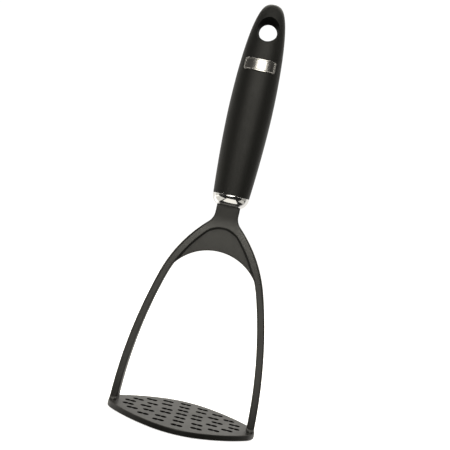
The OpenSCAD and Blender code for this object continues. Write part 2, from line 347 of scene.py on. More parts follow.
def add_object(name: str, data: bpy.types.ID) -> bpy.types.Object:
    """Adds an object to the scene.

    Args:
        name: Its name.
        data: Its mesh, lamp or camera.

    Returns:
        The object.
    """
    made = bpy.data.objects.new(name, data)
    bpy.context.scene.collection.objects.link(made)
    return made


def tidy_mesh(mesh: bpy.types.Mesh, outward: bool = True) -> None:
    """Merges doubles, drops faces without area, and shades the rest smooth.

    Args:
        mesh: The mesh that is changed.
        outward: Whether to turn the faces of a closed form outwards.
    """
    form = bmesh.new()
    form.from_mesh(mesh)
    bmesh.ops.remove_doubles(form, verts=form.verts, dist=MERGE)
    bmesh.ops.dissolve_degenerate(form, edges=form.edges, dist=MERGE)
    if outward:
        bmesh.ops.recalc_face_normals(form, faces=form.faces)
    for face in form.faces:
        face.smooth = True
    form.to_mesh(mesh)
    form.free()


def finish_piece(piece: bpy.types.Object, material: bpy.types.Material, slot: str, *nodes: str) -> None:
    """Gives a piece its material where it has none yet, its body and the solids that it stands for.

    Args:
        piece: The finished mesh object.
        material: Its material.
        slot: Not used.
        nodes: The solids that it replaces.
    """
    if not piece.data.materials:
        piece.data.materials.append(material)
    weigh_normals(piece)
    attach(piece, BODY)
    if nodes:
        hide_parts(*nodes)
    LOG.info("%s: %d faces, stands for %s", piece.name, len(piece.data.polygons), ", ".join(nodes))


def weigh_normals(piece: bpy.types.Object) -> None:
    """Lets large flat faces decide the shading next to a rounded edge.

    Args:
        piece: The piece whose normals are set.
    """
    weigh = piece.modifiers.new("weighted_normals", "WEIGHTED_NORMAL")
    weigh.keep_sharp = True
    weigh.weight = FACE_WEIGHT
    apply_modifiers(piece)


def apply_modifiers(piece: bpy.types.Object) -> None:
    """Turns a piece's evaluated shape into its own plain mesh.

    Args:
        piece: The piece, which loses its modifiers.
    """
    graph = bpy.context.evaluated_depsgraph_get()
    mesh = bpy.data.meshes.new_from_object(piece.evaluated_get(graph), depsgraph=graph)
    piece.modifiers.clear()
    piece.data = mesh


# ---------------------------------------------------------------- materials


class NodeSheet:
    """A node tree, with short ways to add nodes to it and to join them."""

    def __init__(self, tree: bpy.types.NodeTree) -> None:
        """Takes over a tree and clears it."""
        self.tree = tree
        tree.nodes.clear()

    def add(self, kind: str, values: Optional[dict] = None, **settings: object) -> bpy.types.Node:
        """Adds a node.

        Args:
            kind: Its type.
            values: What its inputs get, by name or number: a value, or a socket to join.
            settings: Its own settings.

        Returns:
            The node.
        """
        node = self.tree.nodes.new(kind)
        for name, value in settings.items():
            setattr(node, name, value)
        for name, value in (values or {}).items():
            self.put(node.inputs[name], value)
        return node

    def put(self, socket: bpy.types.NodeSocket, value: object) -> None:
        """Joins a socket to another, or sets its value.

        Args:
            socket: The input that is fed.
            value: The output to join it to, or a plain value.
        """
        if isinstance(value, bpy.types.NodeSocket):
            self.tree.links.new(value, socket)
        else:
            socket.default_value = value

    def math(self, operation: str, *values: object) -> bpy.types.NodeSocket:
        """The result of a sum on one or two values, each a number or a socket."""
        node = self.add("ShaderNodeMath", dict(enumerate(values)), operation=operation)
        return node.outputs[0]

    def remap(
        self, value: object, low: float, high: float, to_low: float = 0.0, to_high: float = 1.0
    ) -> bpy.types.NodeSocket:
        """A value, mapped from one range to another and held there."""
        ends = {"From Min": low, "From Max": high, "To Min": to_low, "To Max": to_high}
        return self.add("ShaderNodeMapRange", {"Value": value, **ends}).outputs["Result"]

    def noise(
        self, vector: object, scale: object, detail: float, roughness: float = 0.5
    ) -> bpy.types.NodeSocket:
        """Fractal noise from 0 to 1 at a place."""
        values = {"Vector": vector, "Scale": scale, "Detail": detail, "Roughness": roughness}
        return self.add("ShaderNodeTexNoise", values).outputs["Fac"]

    def mix(self, kind: str, factor: object, first: object, second: object) -> bpy.types.NodeSocket:
        """Mixes two values or colours.

        Args:
            kind: FLOAT or RGBA.
            factor: Share of the second.
            first: The value where the factor is 0.
            second: The value where it is 1.

        Returns:
            The mixed value.
        """
        node = self.add("ShaderNodeMix", {"Factor": factor}, data_type=kind)
        self.put(node.inputs["A"], first)
        self.put(node.inputs["B"], second)
        return node.outputs["Result"]


# Spans of noise over which a surface turns rubbed, dusty, specked with dust, and shaded by its grain.
RUBBED = (0.42, 0.68)
DUSTY = (0.35, 0.6)
SPECKED = (0.7, 0.78)
SHADED = (0.3, 0.7)


class Effect(Enum):
    """Shader groups that more than one material uses."""

    MOULD_GRAIN = "mould_grain"
    HANDLING = "handling"


def group_socket(
    tree: bpy.types.NodeTree, name: str, way: str, kind: str, value: Optional[float] = None
) -> None:
    """Gives a node group a named input or output.

    Args:
        tree: The group.
        name: Name of the socket.
        way: INPUT or OUTPUT.
        kind: Type of the socket.
        value: What an input has where nothing is set.
    """
    socket = tree.interface.new_socket(name=name, in_out=way, socket_type=kind)
    if value is not None:
        socket.default_value = value


def start_group(effect: Effect, inputs: dict[str, float], outputs: Sequence[str]) -> NodeSheet:
    """Starts a shader group that takes a place and some numbers.

    Args:
        effect: The effect that it makes.
        inputs: Its numbers, with what each is where nothing is set.
        outputs: Names of its outputs.

    Returns:
        Its node tree, empty but for its sockets.
    """
    tree = bpy.data.node_groups.new(effect.value, "ShaderNodeTree")
    group_socket(tree, "Vector", "INPUT", "NodeSocketVector")
    for name, value in inputs.items():
        group_socket(tree, name, "INPUT", "NodeSocketFloat", value)
    for name in outputs:
        group_socket(tree, name, "OUTPUT", "NodeSocketFloat")
    return NodeSheet(tree)


def mould_grain_group() -> bpy.types.NodeTree:
    """The fine pits that a spark-eroded mould leaves, with slow waves of the surface under them.

    Returns:
        The group, with Height for a bump and Shade from 0 to 1 for colour and roughness.
    """
    inputs = {"Pit Scale": 2600.0, "Wave Scale": 70.0, "Wave Share": 0.35}
    sheet = start_group(Effect.MOULD_GRAIN, inputs, ("Height", "Shade"))
    given = sheet.add("NodeGroupInput").outputs
    pits = sheet.noise(given["Vector"], given["Pit Scale"], 2.0, 0.6)
    waves = sheet.noise(given["Vector"], given["Wave Scale"], 3.0)
    share = given["Wave Share"]
    fine = sheet.math("MULTIPLY", pits, sheet.math("SUBTRACT", 1.0, share))
    height = sheet.math("ADD", fine, sheet.math("MULTIPLY", waves, share))
    sheet.add("NodeGroupOutput", {"Height": height, "Shade": waves})
    return sheet.tree


def handling_group() -> bpy.types.NodeTree:
    """Faint rubbed patches and specks of dust that use leaves on a surface.

    Returns:
        The group, with Rub and Dust, each from 0 to 1.
    """
    sheet = start_group(Effect.HANDLING, {"Patch Scale": 45.0, "Speck Scale": 900.0}, ("Rub", "Dust"))
    given = sheet.add("NodeGroupInput").outputs
    patches = sheet.noise(given["Vector"], given["Patch Scale"], 4.0, 0.65)
    specks = sheet.noise(given["Vector"], given["Speck Scale"], 1.0)
    rub = sheet.remap(patches, *RUBBED)
    settled = sheet.remap(patches, *DUSTY, to_low=0.2)
    dust = sheet.math("MULTIPLY", sheet.remap(specks, *SPECKED), settled)
    sheet.add("NodeGroupOutput", {"Rub": rub, "Dust": dust})
    return sheet.tree


def effect_tree(effect: Effect) -> bpy.types.NodeTree:
    """The group of an effect, built the first time that it is asked for.

    Args:
        effect: The effect.

    Returns:
        Its group.
    """
    makers: dict[Effect, Callable[[], bpy.types.NodeTree]] = {
        Effect.MOULD_GRAIN: mould_grain_group,
        Effect.HANDLING: handling_group,
    }
    return bpy.data.node_groups.get(effect.value) or makers[effect]()


@dataclass(frozen=True)
class Burnish:
    """Where handling has polished a moulding: on its proud faces, between two heights.

    Attributes:
        proud: Distance from the middle plane at which the faces stand, in metres.
        low: Heights where the polish begins and is full.
        high: Heights where the polish starts to fade and ends.
        roughness: Roughness of the polished faces.
        fresh: Roughness above them, where no hand or sponge reaches.
        soft: Depth over which the polish comes in on the proud faces.
    """

    proud: float
    low: tuple[float, float]
    high: tuple[float, float]
    roughness: float
    fresh: float
    soft: float = 0.0004

    def apply(
        self, sheet: NodeSheet, place: bpy.types.NodeSocket, roughness: bpy.types.NodeSocket
    ) -> bpy.types.NodeSocket:
        """Roughness with the polish on it.

        Args:
            sheet: The material's node tree.
            place: The surface's coordinates.
            roughness: Roughness without the polish.

        Returns:
            The new roughness.
        """
        axes = sheet.add("ShaderNodeSeparateXYZ", {0: place}).outputs
        proud = sheet.remap(sheet.math("ABSOLUTE", axes["Y"]), self.proud, self.proud + self.soft)
        risen = sheet.math("MULTIPLY", proud, sheet.remap(axes["Z"], *self.low))
        share = sheet.math("MULTIPLY", risen, sheet.remap(axes["Z"], *self.high, 1.0, 0.0))
        roughness = sheet.mix("FLOAT", sheet.remap(axes["Z"], *self.high), roughness, self.fresh)
        return sheet.mix("FLOAT", share, roughness, self.roughness)


def new_material(name: str) -> tuple[bpy.types.Material, NodeSheet]:
    """Starts a material.

    Args:
        name: Its name.

    Returns:
        The material, and its empty node tree.
    """
    made = bpy.data.materials.new(name)
    made.use_nodes = True
    return made, NodeSheet(made.node_tree)


@dataclass(frozen=True)
class Finish:
    """A moulded plastic or plated finish.

    Attributes:
        name: Name of the material.
        dark: Base colour where the surface is darkest.
        light: Base colour where rubbing has lightened it.
        smooth: Roughness of rubbed places.
        rough: Roughness elsewhere.
        metallic: 1 for plating.
        specular: Specular level.
        pit_scale: Fineness of the mould's pits, in waves per metre.
        wave_share: Share of slow waves in the relief.
        relief: Depth of the relief, in metres.
        strength: How strongly the relief shows.
        dust: How much the specks of dust lighten the colour.
        burnish: Where handling has polished it.
    """

    name: str
    dark: tuple[float, float, float]
    light: tuple[float, float, float]
    smooth: float
    rough: float
    metallic: float = 0.0
    specular: float = 0.5
    pit_scale: float = 2600.0
    wave_share: float = 0.35
    relief: float = 0.00004
    strength: float = 0.5
    dust: float = 0.0
    burnish: Optional[Burnish] = None

    @cache
    def material(self) -> bpy.types.Material:
        """Builds the material, the first time that it is asked for.

        Returns:
            The material.
        """
        made, sheet = new_material(self.name)
        place = sheet.add("ShaderNodeTexCoord").outputs["Object"]
        grain = sheet.add("ShaderNodeGroup", node_tree=effect_tree(Effect.MOULD_GRAIN))
        given = {"Vector": place, "Pit Scale": self.pit_scale, "Wave Share": self.wave_share}
        for name, value in given.items():
            sheet.put(grain.inputs[name], value)
        handling = sheet.add("ShaderNodeGroup", node_tree=effect_tree(Effect.HANDLING))
        sheet.put(handling.inputs["Vector"], place)
        shade = sheet.remap(grain.outputs["Shade"], *SHADED, to_low=0.5)
        worn = sheet.math("MULTIPLY", handling.outputs["Rub"], shade)
        dusty = sheet.math("MULTIPLY", handling.outputs["Dust"], self.dust)
        lightened = sheet.math("MAXIMUM", worn, dusty)
        colour = sheet.mix("RGBA", lightened, (*self.dark, 1.0), (*self.light, 1.0))
        roughness = sheet.remap(worn, 0.0, 1.0, self.rough, self.smooth)
        if self.burnish:
            roughness = self.burnish.apply(sheet, place, roughness)
        bump = sheet.add(
            "ShaderNodeBump",
            {"Height": grain.outputs["Height"], "Strength": self.strength, "Distance": self.relief},
        )
        shader = sheet.add(
            "ShaderNodeBsdfPrincipled",
            {
                "Base Color": colour,
                "Roughness": roughness,
                "Metallic": self.metallic,
                "Specular IOR Level": self.specular,
                "Normal": bump.outputs["Normal"],
            },
        )
        sheet.add("ShaderNodeOutputMaterial", {"Surface": shader.outputs[0]})
        return made


NYLON = Finish(
    "matt_nylon", (0.0105, 0.0100, 0.0088), (0.017, 0.0162, 0.0145), 0.34, 0.42,
    pit_scale=1500.0, relief=0.00003, dust=0.2,
)
# Painted shade: a much darker, duller copy of the nylon on the slots' walls, standing in for the shade deep
# inside the slots.
SLOT_SHADE_NYLON = replace(
    NYLON, name="slot_painted_shade_nylon", dark=(0.002, 0.002, 0.0018), light=(0.003, 0.003, 0.0027), smooth=0.5,
    rough=0.6, specular=0.1, dust=0.0,
)
YOKE_NYLON = replace(
    NYLON, name="burnished_nylon", smooth=0.4, rough=0.48, specular=0.8,
    burnish=Burnish(0.0021, (0.06, 0.11), (0.130, 0.142), 0.24, 0.62),
)
# Painted shade: a darker, duller copy of the nylon on the wall round the yoke's recess, standing in for the
# shade in the recess.
GROOVE_SHADE_NYLON = replace(
    SLOT_SHADE_NYLON, name="groove_nylon", dark=(0.003, 0.003, 0.0026), light=(0.005, 0.005, 0.0045), specular=0.35
)
SOFT_GRIP = Finish(
    "soft_touch_skin", (0.0062, 0.0062, 0.0055), (0.009, 0.009, 0.0082), 0.42, 0.50, specular=0.4,
    pit_scale=3600.0, wave_share=0.2, relief=0.000003, dust=0.08,
)
# Painted shade: a much darker, duller copy of the grip's skin on the hanging hole's steep walls, standing in
# for the shade inside the hole.
MOUTH_SHADE_SKIN = replace(
    SOFT_GRIP, name="mouth_painted_shade_skin", dark=(0.0022, 0.0022, 0.002), light=(0.003, 0.003, 0.0027), smooth=0.6,
    rough=0.7, specular=0.12,
)
BRIGHT_PLATING = Finish(
    "mirror_plating", (0.80, 0.80, 0.81), (0.86, 0.86, 0.86), 0.07, 0.1,
    metallic=1.0, wave_share=0.85, relief=0.00001, strength=0.12,
)
BADGE_PLATING = replace(
    BRIGHT_PLATING, name="satin_plating", dark=(0.47, 0.46, 0.45), light=(0.54, 0.53, 0.52), smooth=0.18,
    rough=0.24, relief=0.000005,
)
CORE_PLASTIC = Finish("hard_core_plastic", (0.05, 0.05, 0.05), (0.07, 0.07, 0.07), 0.45, 0.55)
PIN_STEEL = Finish(
    "plain_pin_steel", (0.5, 0.5, 0.52), (0.6, 0.6, 0.62), 0.25, 0.35, metallic=1.0, relief=0.00001
)
ADHESIVE = Finish("foam_adhesive", (0.72, 0.72, 0.69), (0.8, 0.8, 0.78), 0.7, 0.8, relief=0.00005)


# ---------------------------------------------------------------- plate


@dataclass
class MashPlate:
    """The perforated plate with a raised socket for each arm."""

    # The plate's outline, drawn with arcs, and its edges.
    thickness: float = 3.8
    tip_radius: float = 18.0
    point_radius: float = 42.0
    side_radius: float = 90.0
    rim_round: float = 0.7
    under_round: float = 0.5
    # One slot: two round ends with a waist between them.
    slot_radius: float = 2.05
    slot_span: float = 3.7
    slot_waist: float = 2.2
    slot_fillet: float = 0.2
    slot_round: float = 0.15
    slot_under_round: float = 0.2
    # How finely the curves are divided.
    arc_steps: int = 14
    slot_end_steps: int = 9
    slot_corner_steps: int = 3
    socket_steps: tuple[int, int] = (20, 40)
    # The raised sockets of the arms, and the openings in them.
    socket_height: float = 2.6
    socket_ledge: float = 2.1
    socket_slope: tuple[tuple[float, float], ...] = (
        (0.0, 1.5), (0.07, 1.36), (0.22, 1.22), (0.8, 0.84), (1.4, 0.44), (1.85, 0.12), (2.0, 0.0),
    )
    slope_power: float = 1.5
    seam_round: float = 0.1
    socket_base: float = 0.3
    least_base: float = 0.25
    mouth_gap: float = 0.1
    foot_corner: float = 0.3
    tongue_corner: float = 0.2
    stake_corner: float = 0.4
    stake_bevel: float = 0.12
    bevel_corner: float = 0.5
    # Middles of the slots in a quarter of the plate, as shares of its half length and half width.
    places: tuple[tuple[float, float], ...] = (
        (0, 0), (0, 0.26), (0, 0.503), (0, 0.765),
        (0.209, 0.118), (0.241, 0.435), (0.247, 0.69),
        (0.488, 0), (0.423, 0.242), (0.466, 0.532),
        (0.718, 0.117), (0.634, 0.333),
    )
    # Taken from the solid.
    half_length: float = field(init=False)
    half_width: float = field(init=False)

    def __post_init__(self) -> None:
        """Takes the plate's length and width from its solid."""
        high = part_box("mash_plate")[1] / MM
        self.half_length, self.half_width = high.x, high.y

    def outline(self, inset: float) -> Points:
        """The plate's outline, drawn in by inset.

        Args:
            inset: Distance inwards from the plate's edge.

        Returns:
            The points, anticlockwise.
        """
        tip = np.array([self.half_length - self.tip_radius, 0.0])
        point = np.array([0.0, self.half_width - self.point_radius])
        gap = float(np.linalg.norm(point - tip))
        to_tip, to_point = self.side_radius - self.tip_radius, self.side_radius - self.point_radius
        along = (to_tip**2 - to_point**2 + gap**2) / (2 * gap)
        across = math.sqrt(to_tip**2 - along**2)
        way = (point - tip) / gap
        side = tip + along * way + across * np.array([-way[1], way[0]])
        tip_turn = math.degrees(math.atan2(*(tip - side)[::-1]))
        point_turn = math.degrees(math.atan2(*(point - side)[::-1]))
        shares = np.arange(self.arc_steps) / self.arc_steps
        quarter = [
            Arc(tuple(tip), self.tip_radius - inset, 0.0, tip_turn).at(shares)[0],
            Arc(tuple(side), self.side_radius - inset, tip_turn, point_turn).at(shares)[0],
            Arc(tuple(point), self.point_radius - inset, point_turn, 90.0).at(np.append(shares, 1.0))[0],
        ]
        return four_fold(np.concatenate(quarter))

    def slot_outline(self, grown: float) -> Points:
        """Outline of a slot: two round ends, joined by a narrower waist with rounded corners.

        Args:
            grown: Distance outwards from the slot's wall.

        Returns:
            The points, anticlockwise.
        """
        end_x, waist = self.slot_span / 2, self.slot_waist / 2
        reach = self.slot_radius + self.slot_fillet
        rise = waist + self.slot_fillet
        corner_x = end_x - math.sqrt(reach**2 - rise**2)
        turn = math.degrees(math.atan2(rise, corner_x - end_x))
        round_end = Arc((end_x, 0.0), self.slot_radius + grown, 0.0, turn)
        corner = Arc((corner_x, rise), self.slot_fillet - grown, turn + 180.0, 270.0)
        end_shares = np.arange(self.slot_end_steps) / self.slot_end_steps
        corner_shares = np.arange(self.slot_corner_steps + 1) / self.slot_corner_steps
        middle = [[0.0, waist + grown]]
        return four_fold(np.concatenate([round_end.at(end_shares)[0], corner.at(corner_shares)[0], middle]))

    def wall_steps(
        self, top: float, under: float, under_turns: np.ndarray = QUARTER_TURN
    ) -> list[tuple[float, float]]:
        """Steps down a wall with rounded edges: how far each lies from the wall, and its height."""
        up = [(drawn, self.thickness - fall) for drawn, fall in rounding(top)]
        return up[::-1] + rounding(under, under_turns)

    def rim(self) -> bpy.types.Object:
        """The plate's edge, from the flat above to the flat below.

        Returns:
            The edge's open skin.
        """
        steps = self.wall_steps(self.rim_round, self.under_round)
        skin = Skin()
        skin.tube(lifted(self.outline(inset), height) for inset, height in steps)
        return skin.build("plate_rim", outward=False)

    def slot(self) -> bpy.types.Object:
        """The wall of one slot at the origin, with its rounded edges.

        Returns:
            The wall's open skin.
        """
        steps = self.wall_steps(self.slot_round, self.slot_under_round, QUARTER_TURN[::2])
        skin = Skin()
        skin.tube(lifted(self.slot_outline(grown), height) for grown, height in steps)
        return skin.build("plate_slot", outward=False)

    def socket(self, yoke: "Yoke") -> bpy.types.Object:
        """The raised socket of the right arm, from the flat above down to the flat below.

        Args:
            yoke: The yoke, whose foot the socket holds.

        Returns:
            The socket's open skin.
        """
        square = square_edge(*self.socket_steps)
        gap, top = self.mouth_gap, self.thickness + self.socket_height
        half_x = yoke.arm_width / 2
        half_y = yoke.foot_depth / 2 + gap + self.socket_ledge
        outside = rounded_box(square, half_x, half_y, half_x)
        normals = outside - np.clip(outside, (0.0, half_x - half_y), (0.0, half_y - half_x))
        normals /= np.linalg.norm(normals, axis=1)[:, None]
        blend = np.abs(normals[:, 1:]) ** self.slope_power
        base = self.socket_base * (self.least_base + (1 - self.least_base) * blend)
        loops = [
            np.column_stack([outside + normals * out, self.thickness + up])
            for out, up in rounding(base, QUARTER_TURN[::-1])
        ]
        seam = rounding(self.seam_round, np.linspace(0.0, math.pi / 2, len(self.socket_slope)))
        for (run, fall), (seam_run, seam_fall) in zip(self.socket_slope, seam):
            drawn = run * blend + seam_run * (1 - blend)
            down = fall * blend + seam_fall * (1 - blend)
            loops.append(np.column_stack([outside - normals * drawn, top - down]))
        foot_x, foot_y = yoke.foot_half[0] + gap, yoke.foot_half[1] + gap
        tongue_x, tongue_y = yoke.tongue_half[0] + gap, yoke.tongue_half[1] + gap
        stake_x, stake_y = tongue_x + yoke.stake_lip, tongue_y + yoke.stake_lip
        bevel = self.stake_bevel
        steps = (
            (foot_x, foot_y, self.foot_corner, top),
            (foot_x, foot_y, self.foot_corner, self.thickness),
            (tongue_x, tongue_y, self.tongue_corner, self.thickness),
            (tongue_x, tongue_y, self.tongue_corner, yoke.stake_top),
            (stake_x, stake_y, self.stake_corner, yoke.stake_top),
            (stake_x, stake_y, self.stake_corner, bevel),
            (stake_x + bevel, stake_y + bevel, self.bevel_corner, 0.0),
        )
        loops += [lifted(rounded_box(square, x, y, corner), height) for x, y, corner, height in steps]
        skin = Skin()
        skin.tube(loop + (yoke.foot_x, 0.0, 0.0) for loop in loops)
        return skin.build("plate_socket", outward=False)

    def slot_points(self) -> bpy.types.Object:
        """One vertex at the middle of each slot, mirrored from a quarter of the plate.

        Returns:
            The points' object, which becomes the plate.
        """
        spots = {
            (side_x * x * self.half_length, side_y * y * self.half_width, 0.0)
            for x, y in self.places
            for side_x in (-1, 1)
            for side_y in (-1, 1)
        }
        rounded = sorted({tuple(round(value, 6) + 0.0 for value in spot) for spot in spots})
        mesh = bpy.data.meshes.new("perforated_plate")
        mesh.from_pydata((np.array(rounded) * MM).tolist(), [], [])
        return add_object("perforated_plate", mesh)

    def build(self, yoke: "Yoke", finish: Finish, slot_shade_finish: Finish) -> bpy.types.Object:
        """Makes the whole plate.

        Args:
            yoke: The yoke that stands on it.
            finish: Its finish.
            slot_shade_finish: Darker finish of the slots' walls, which paints the shade inside them.

        Returns:
            The finished piece.
        """
        piece = self.slot_points()
        parts = {"Rim": self.rim(), "Slot": self.slot(), "Socket": self.socket(yoke)}
        material = finish.material()
        # The slots' walls take the darker finish, painted shade inside the slots.
        materials = {"Material": material, "Slot Shade Material": slot_shade_finish.material()}
        values = {**parts, **materials, "Thickness": self.thickness * MM}
        tree = perforation_tree()
        modifier = piece.modifiers.new("perforations", "NODES")
        modifier.node_group = tree
        for item in tree.interface.items_tree:
            if item.item_type == "SOCKET" and item.in_out == "INPUT" and item.name in values:
                modifier[item.identifier] = values[item.name]
        apply_modifiers(piece)
        tidy_mesh(piece.data)
        for part in parts.values():
            bpy.data.objects.remove(part)
        finish_piece(piece, material, "nylon", "mash_plate")
        return piece


def perforation_tree() -> bpy.types.NodeTree:
    """Geometry nodes that set a slot on each point and fill the plate's flats round the slots.

    Returns:
        The tree, with the rim, one slot, one socket, the thickness and the two materials as inputs, the
        second a painted shade for the slots' walls.
    """
    tree = bpy.data.node_groups.new("perforations", "GeometryNodeTree")
    tree.is_modifier = True
    for name, kind in (
        ("Geometry", "NodeSocketGeometry"), ("Rim", "NodeSocketObject"), ("Slot", "NodeSocketObject"),
        ("Socket", "NodeSocketObject"), ("Thickness", "NodeSocketFloat"), ("Material", "NodeSocketMaterial"),
        ("Slot Shade Material", "NodeSocketMaterial"),
    ):
        group_socket(tree, name, "INPUT", kind)
    group_socket(tree, "Geometry", "OUTPUT", "NodeSocketGeometry")
    sheet = NodeSheet(tree)
    given = sheet.add("NodeGroupInput").outputs
    thickness = given["Thickness"]

    def part(name: str) -> bpy.types.NodeSocket:
        """Geometry of one of the given objects."""
        return sheet.add("GeometryNodeObjectInfo", {"Object": given[name]}).outputs["Geometry"]

    def join(*pieces: bpy.types.NodeSocket) -> bpy.types.NodeSocket:
        """Several geometries as one.

        Args:
            pieces: The geometries.

        Returns:
            All of them together.
        """
        node = sheet.add("GeometryNodeJoinGeometry")
        for piece in pieces:
            tree.links.new(piece, node.inputs["Geometry"])
        return node.outputs["Geometry"]

    def apply(kind: str, geometry: bpy.types.NodeSocket, **values: object) -> bpy.types.NodeSocket:
        """A geometry after one more node, whose other inputs get the values."""
        return sheet.add(kind, {"Geometry": geometry, **values}).outputs["Geometry"]

    slots = sheet.add("GeometryNodeInstanceOnPoints", {"Points": given["Geometry"], "Instance": part("Slot")})
    slots = apply("GeometryNodeRealizeInstances", slots.outputs["Instances"])
    # The slots' walls get the darker material: painted shade inside the slots.
    slots = apply("GeometryNodeSetMaterial", slots, Material=given["Slot Shade Material"])
    right = part("Socket")
    left = apply("GeometryNodeTransform", right, Scale=(-1.0, 1.0, 1.0))
    left = sheet.add("GeometryNodeFlipFaces", {"Mesh": left}).outputs["Mesh"]
    walls = join(part("Rim"), slots, right, left)

    open_edge = sheet.add("FunctionNodeCompare", data_type="INT", operation="EQUAL")
    sheet.put(open_edge.inputs["A"], sheet.add("GeometryNodeInputMeshEdgeNeighbors").outputs["Face Count"])
    open_edge.inputs["B"].default_value = 1
    place = sheet.add("GeometryNodeInputPosition").outputs[0]
    height = sheet.add("ShaderNodeSeparateXYZ", {0: place}).outputs["Z"]
    half = sheet.math("MULTIPLY", thickness, 0.5)

    def flat(side: str, level: object, flip: bool) -> bpy.types.NodeSocket:
        """A flat filled between all open edges on one side of the plate.

        Args:
            side: GREATER_THAN for the top, LESS_THAN for the underside.
            level: Height of the flat.
            flip: Whether the flat faces down.

        Returns:
            The flat's mesh.
        """
        chosen = sheet.add("FunctionNodeCompare", {"A": height, "B": half}, data_type="FLOAT", operation=side)
        ends = {0: open_edge.outputs[0], 1: chosen.outputs[0]}
        both = sheet.add("FunctionNodeBooleanMath", ends, operation="AND")
        curves = sheet.add("GeometryNodeMeshToCurve", {"Mesh": walls, "Selection": both.outputs[0]})
        filled = sheet.add("GeometryNodeFillCurve", {"Curve": curves.outputs[0]}).outputs["Mesh"]
        offset = sheet.add("ShaderNodeCombineXYZ", {"Z": level}).outputs[0]
        moved = apply("GeometryNodeSetPosition", filled, Offset=offset)
        if not flip:
            return moved
        return sheet.add("GeometryNodeFlipFaces", {"Mesh": moved}).outputs["Mesh"]

    whole = join(walls, flat("GREATER_THAN", thickness, False), flat("LESS_THAN", 0.0, True))
    real = apply("GeometryNodeRealizeInstances", apply("GeometryNodeMergeByDistance", whole, Distance=MERGE))
    slotted = sheet.add("GeometryNodeMaterialSelection", {"Material": given["Slot Shade Material"]})
    others = sheet.add("FunctionNodeBooleanMath", {0: slotted.outputs["Selection"]}, operation="NOT")
    dressed = apply("GeometryNodeSetMaterial", real, Selection=others.outputs[0], Material=given["Material"])
    sheet.add("NodeGroupOutput", {"Geometry": dressed})
    return tree


# ---------------------------------------------------------------- yoke


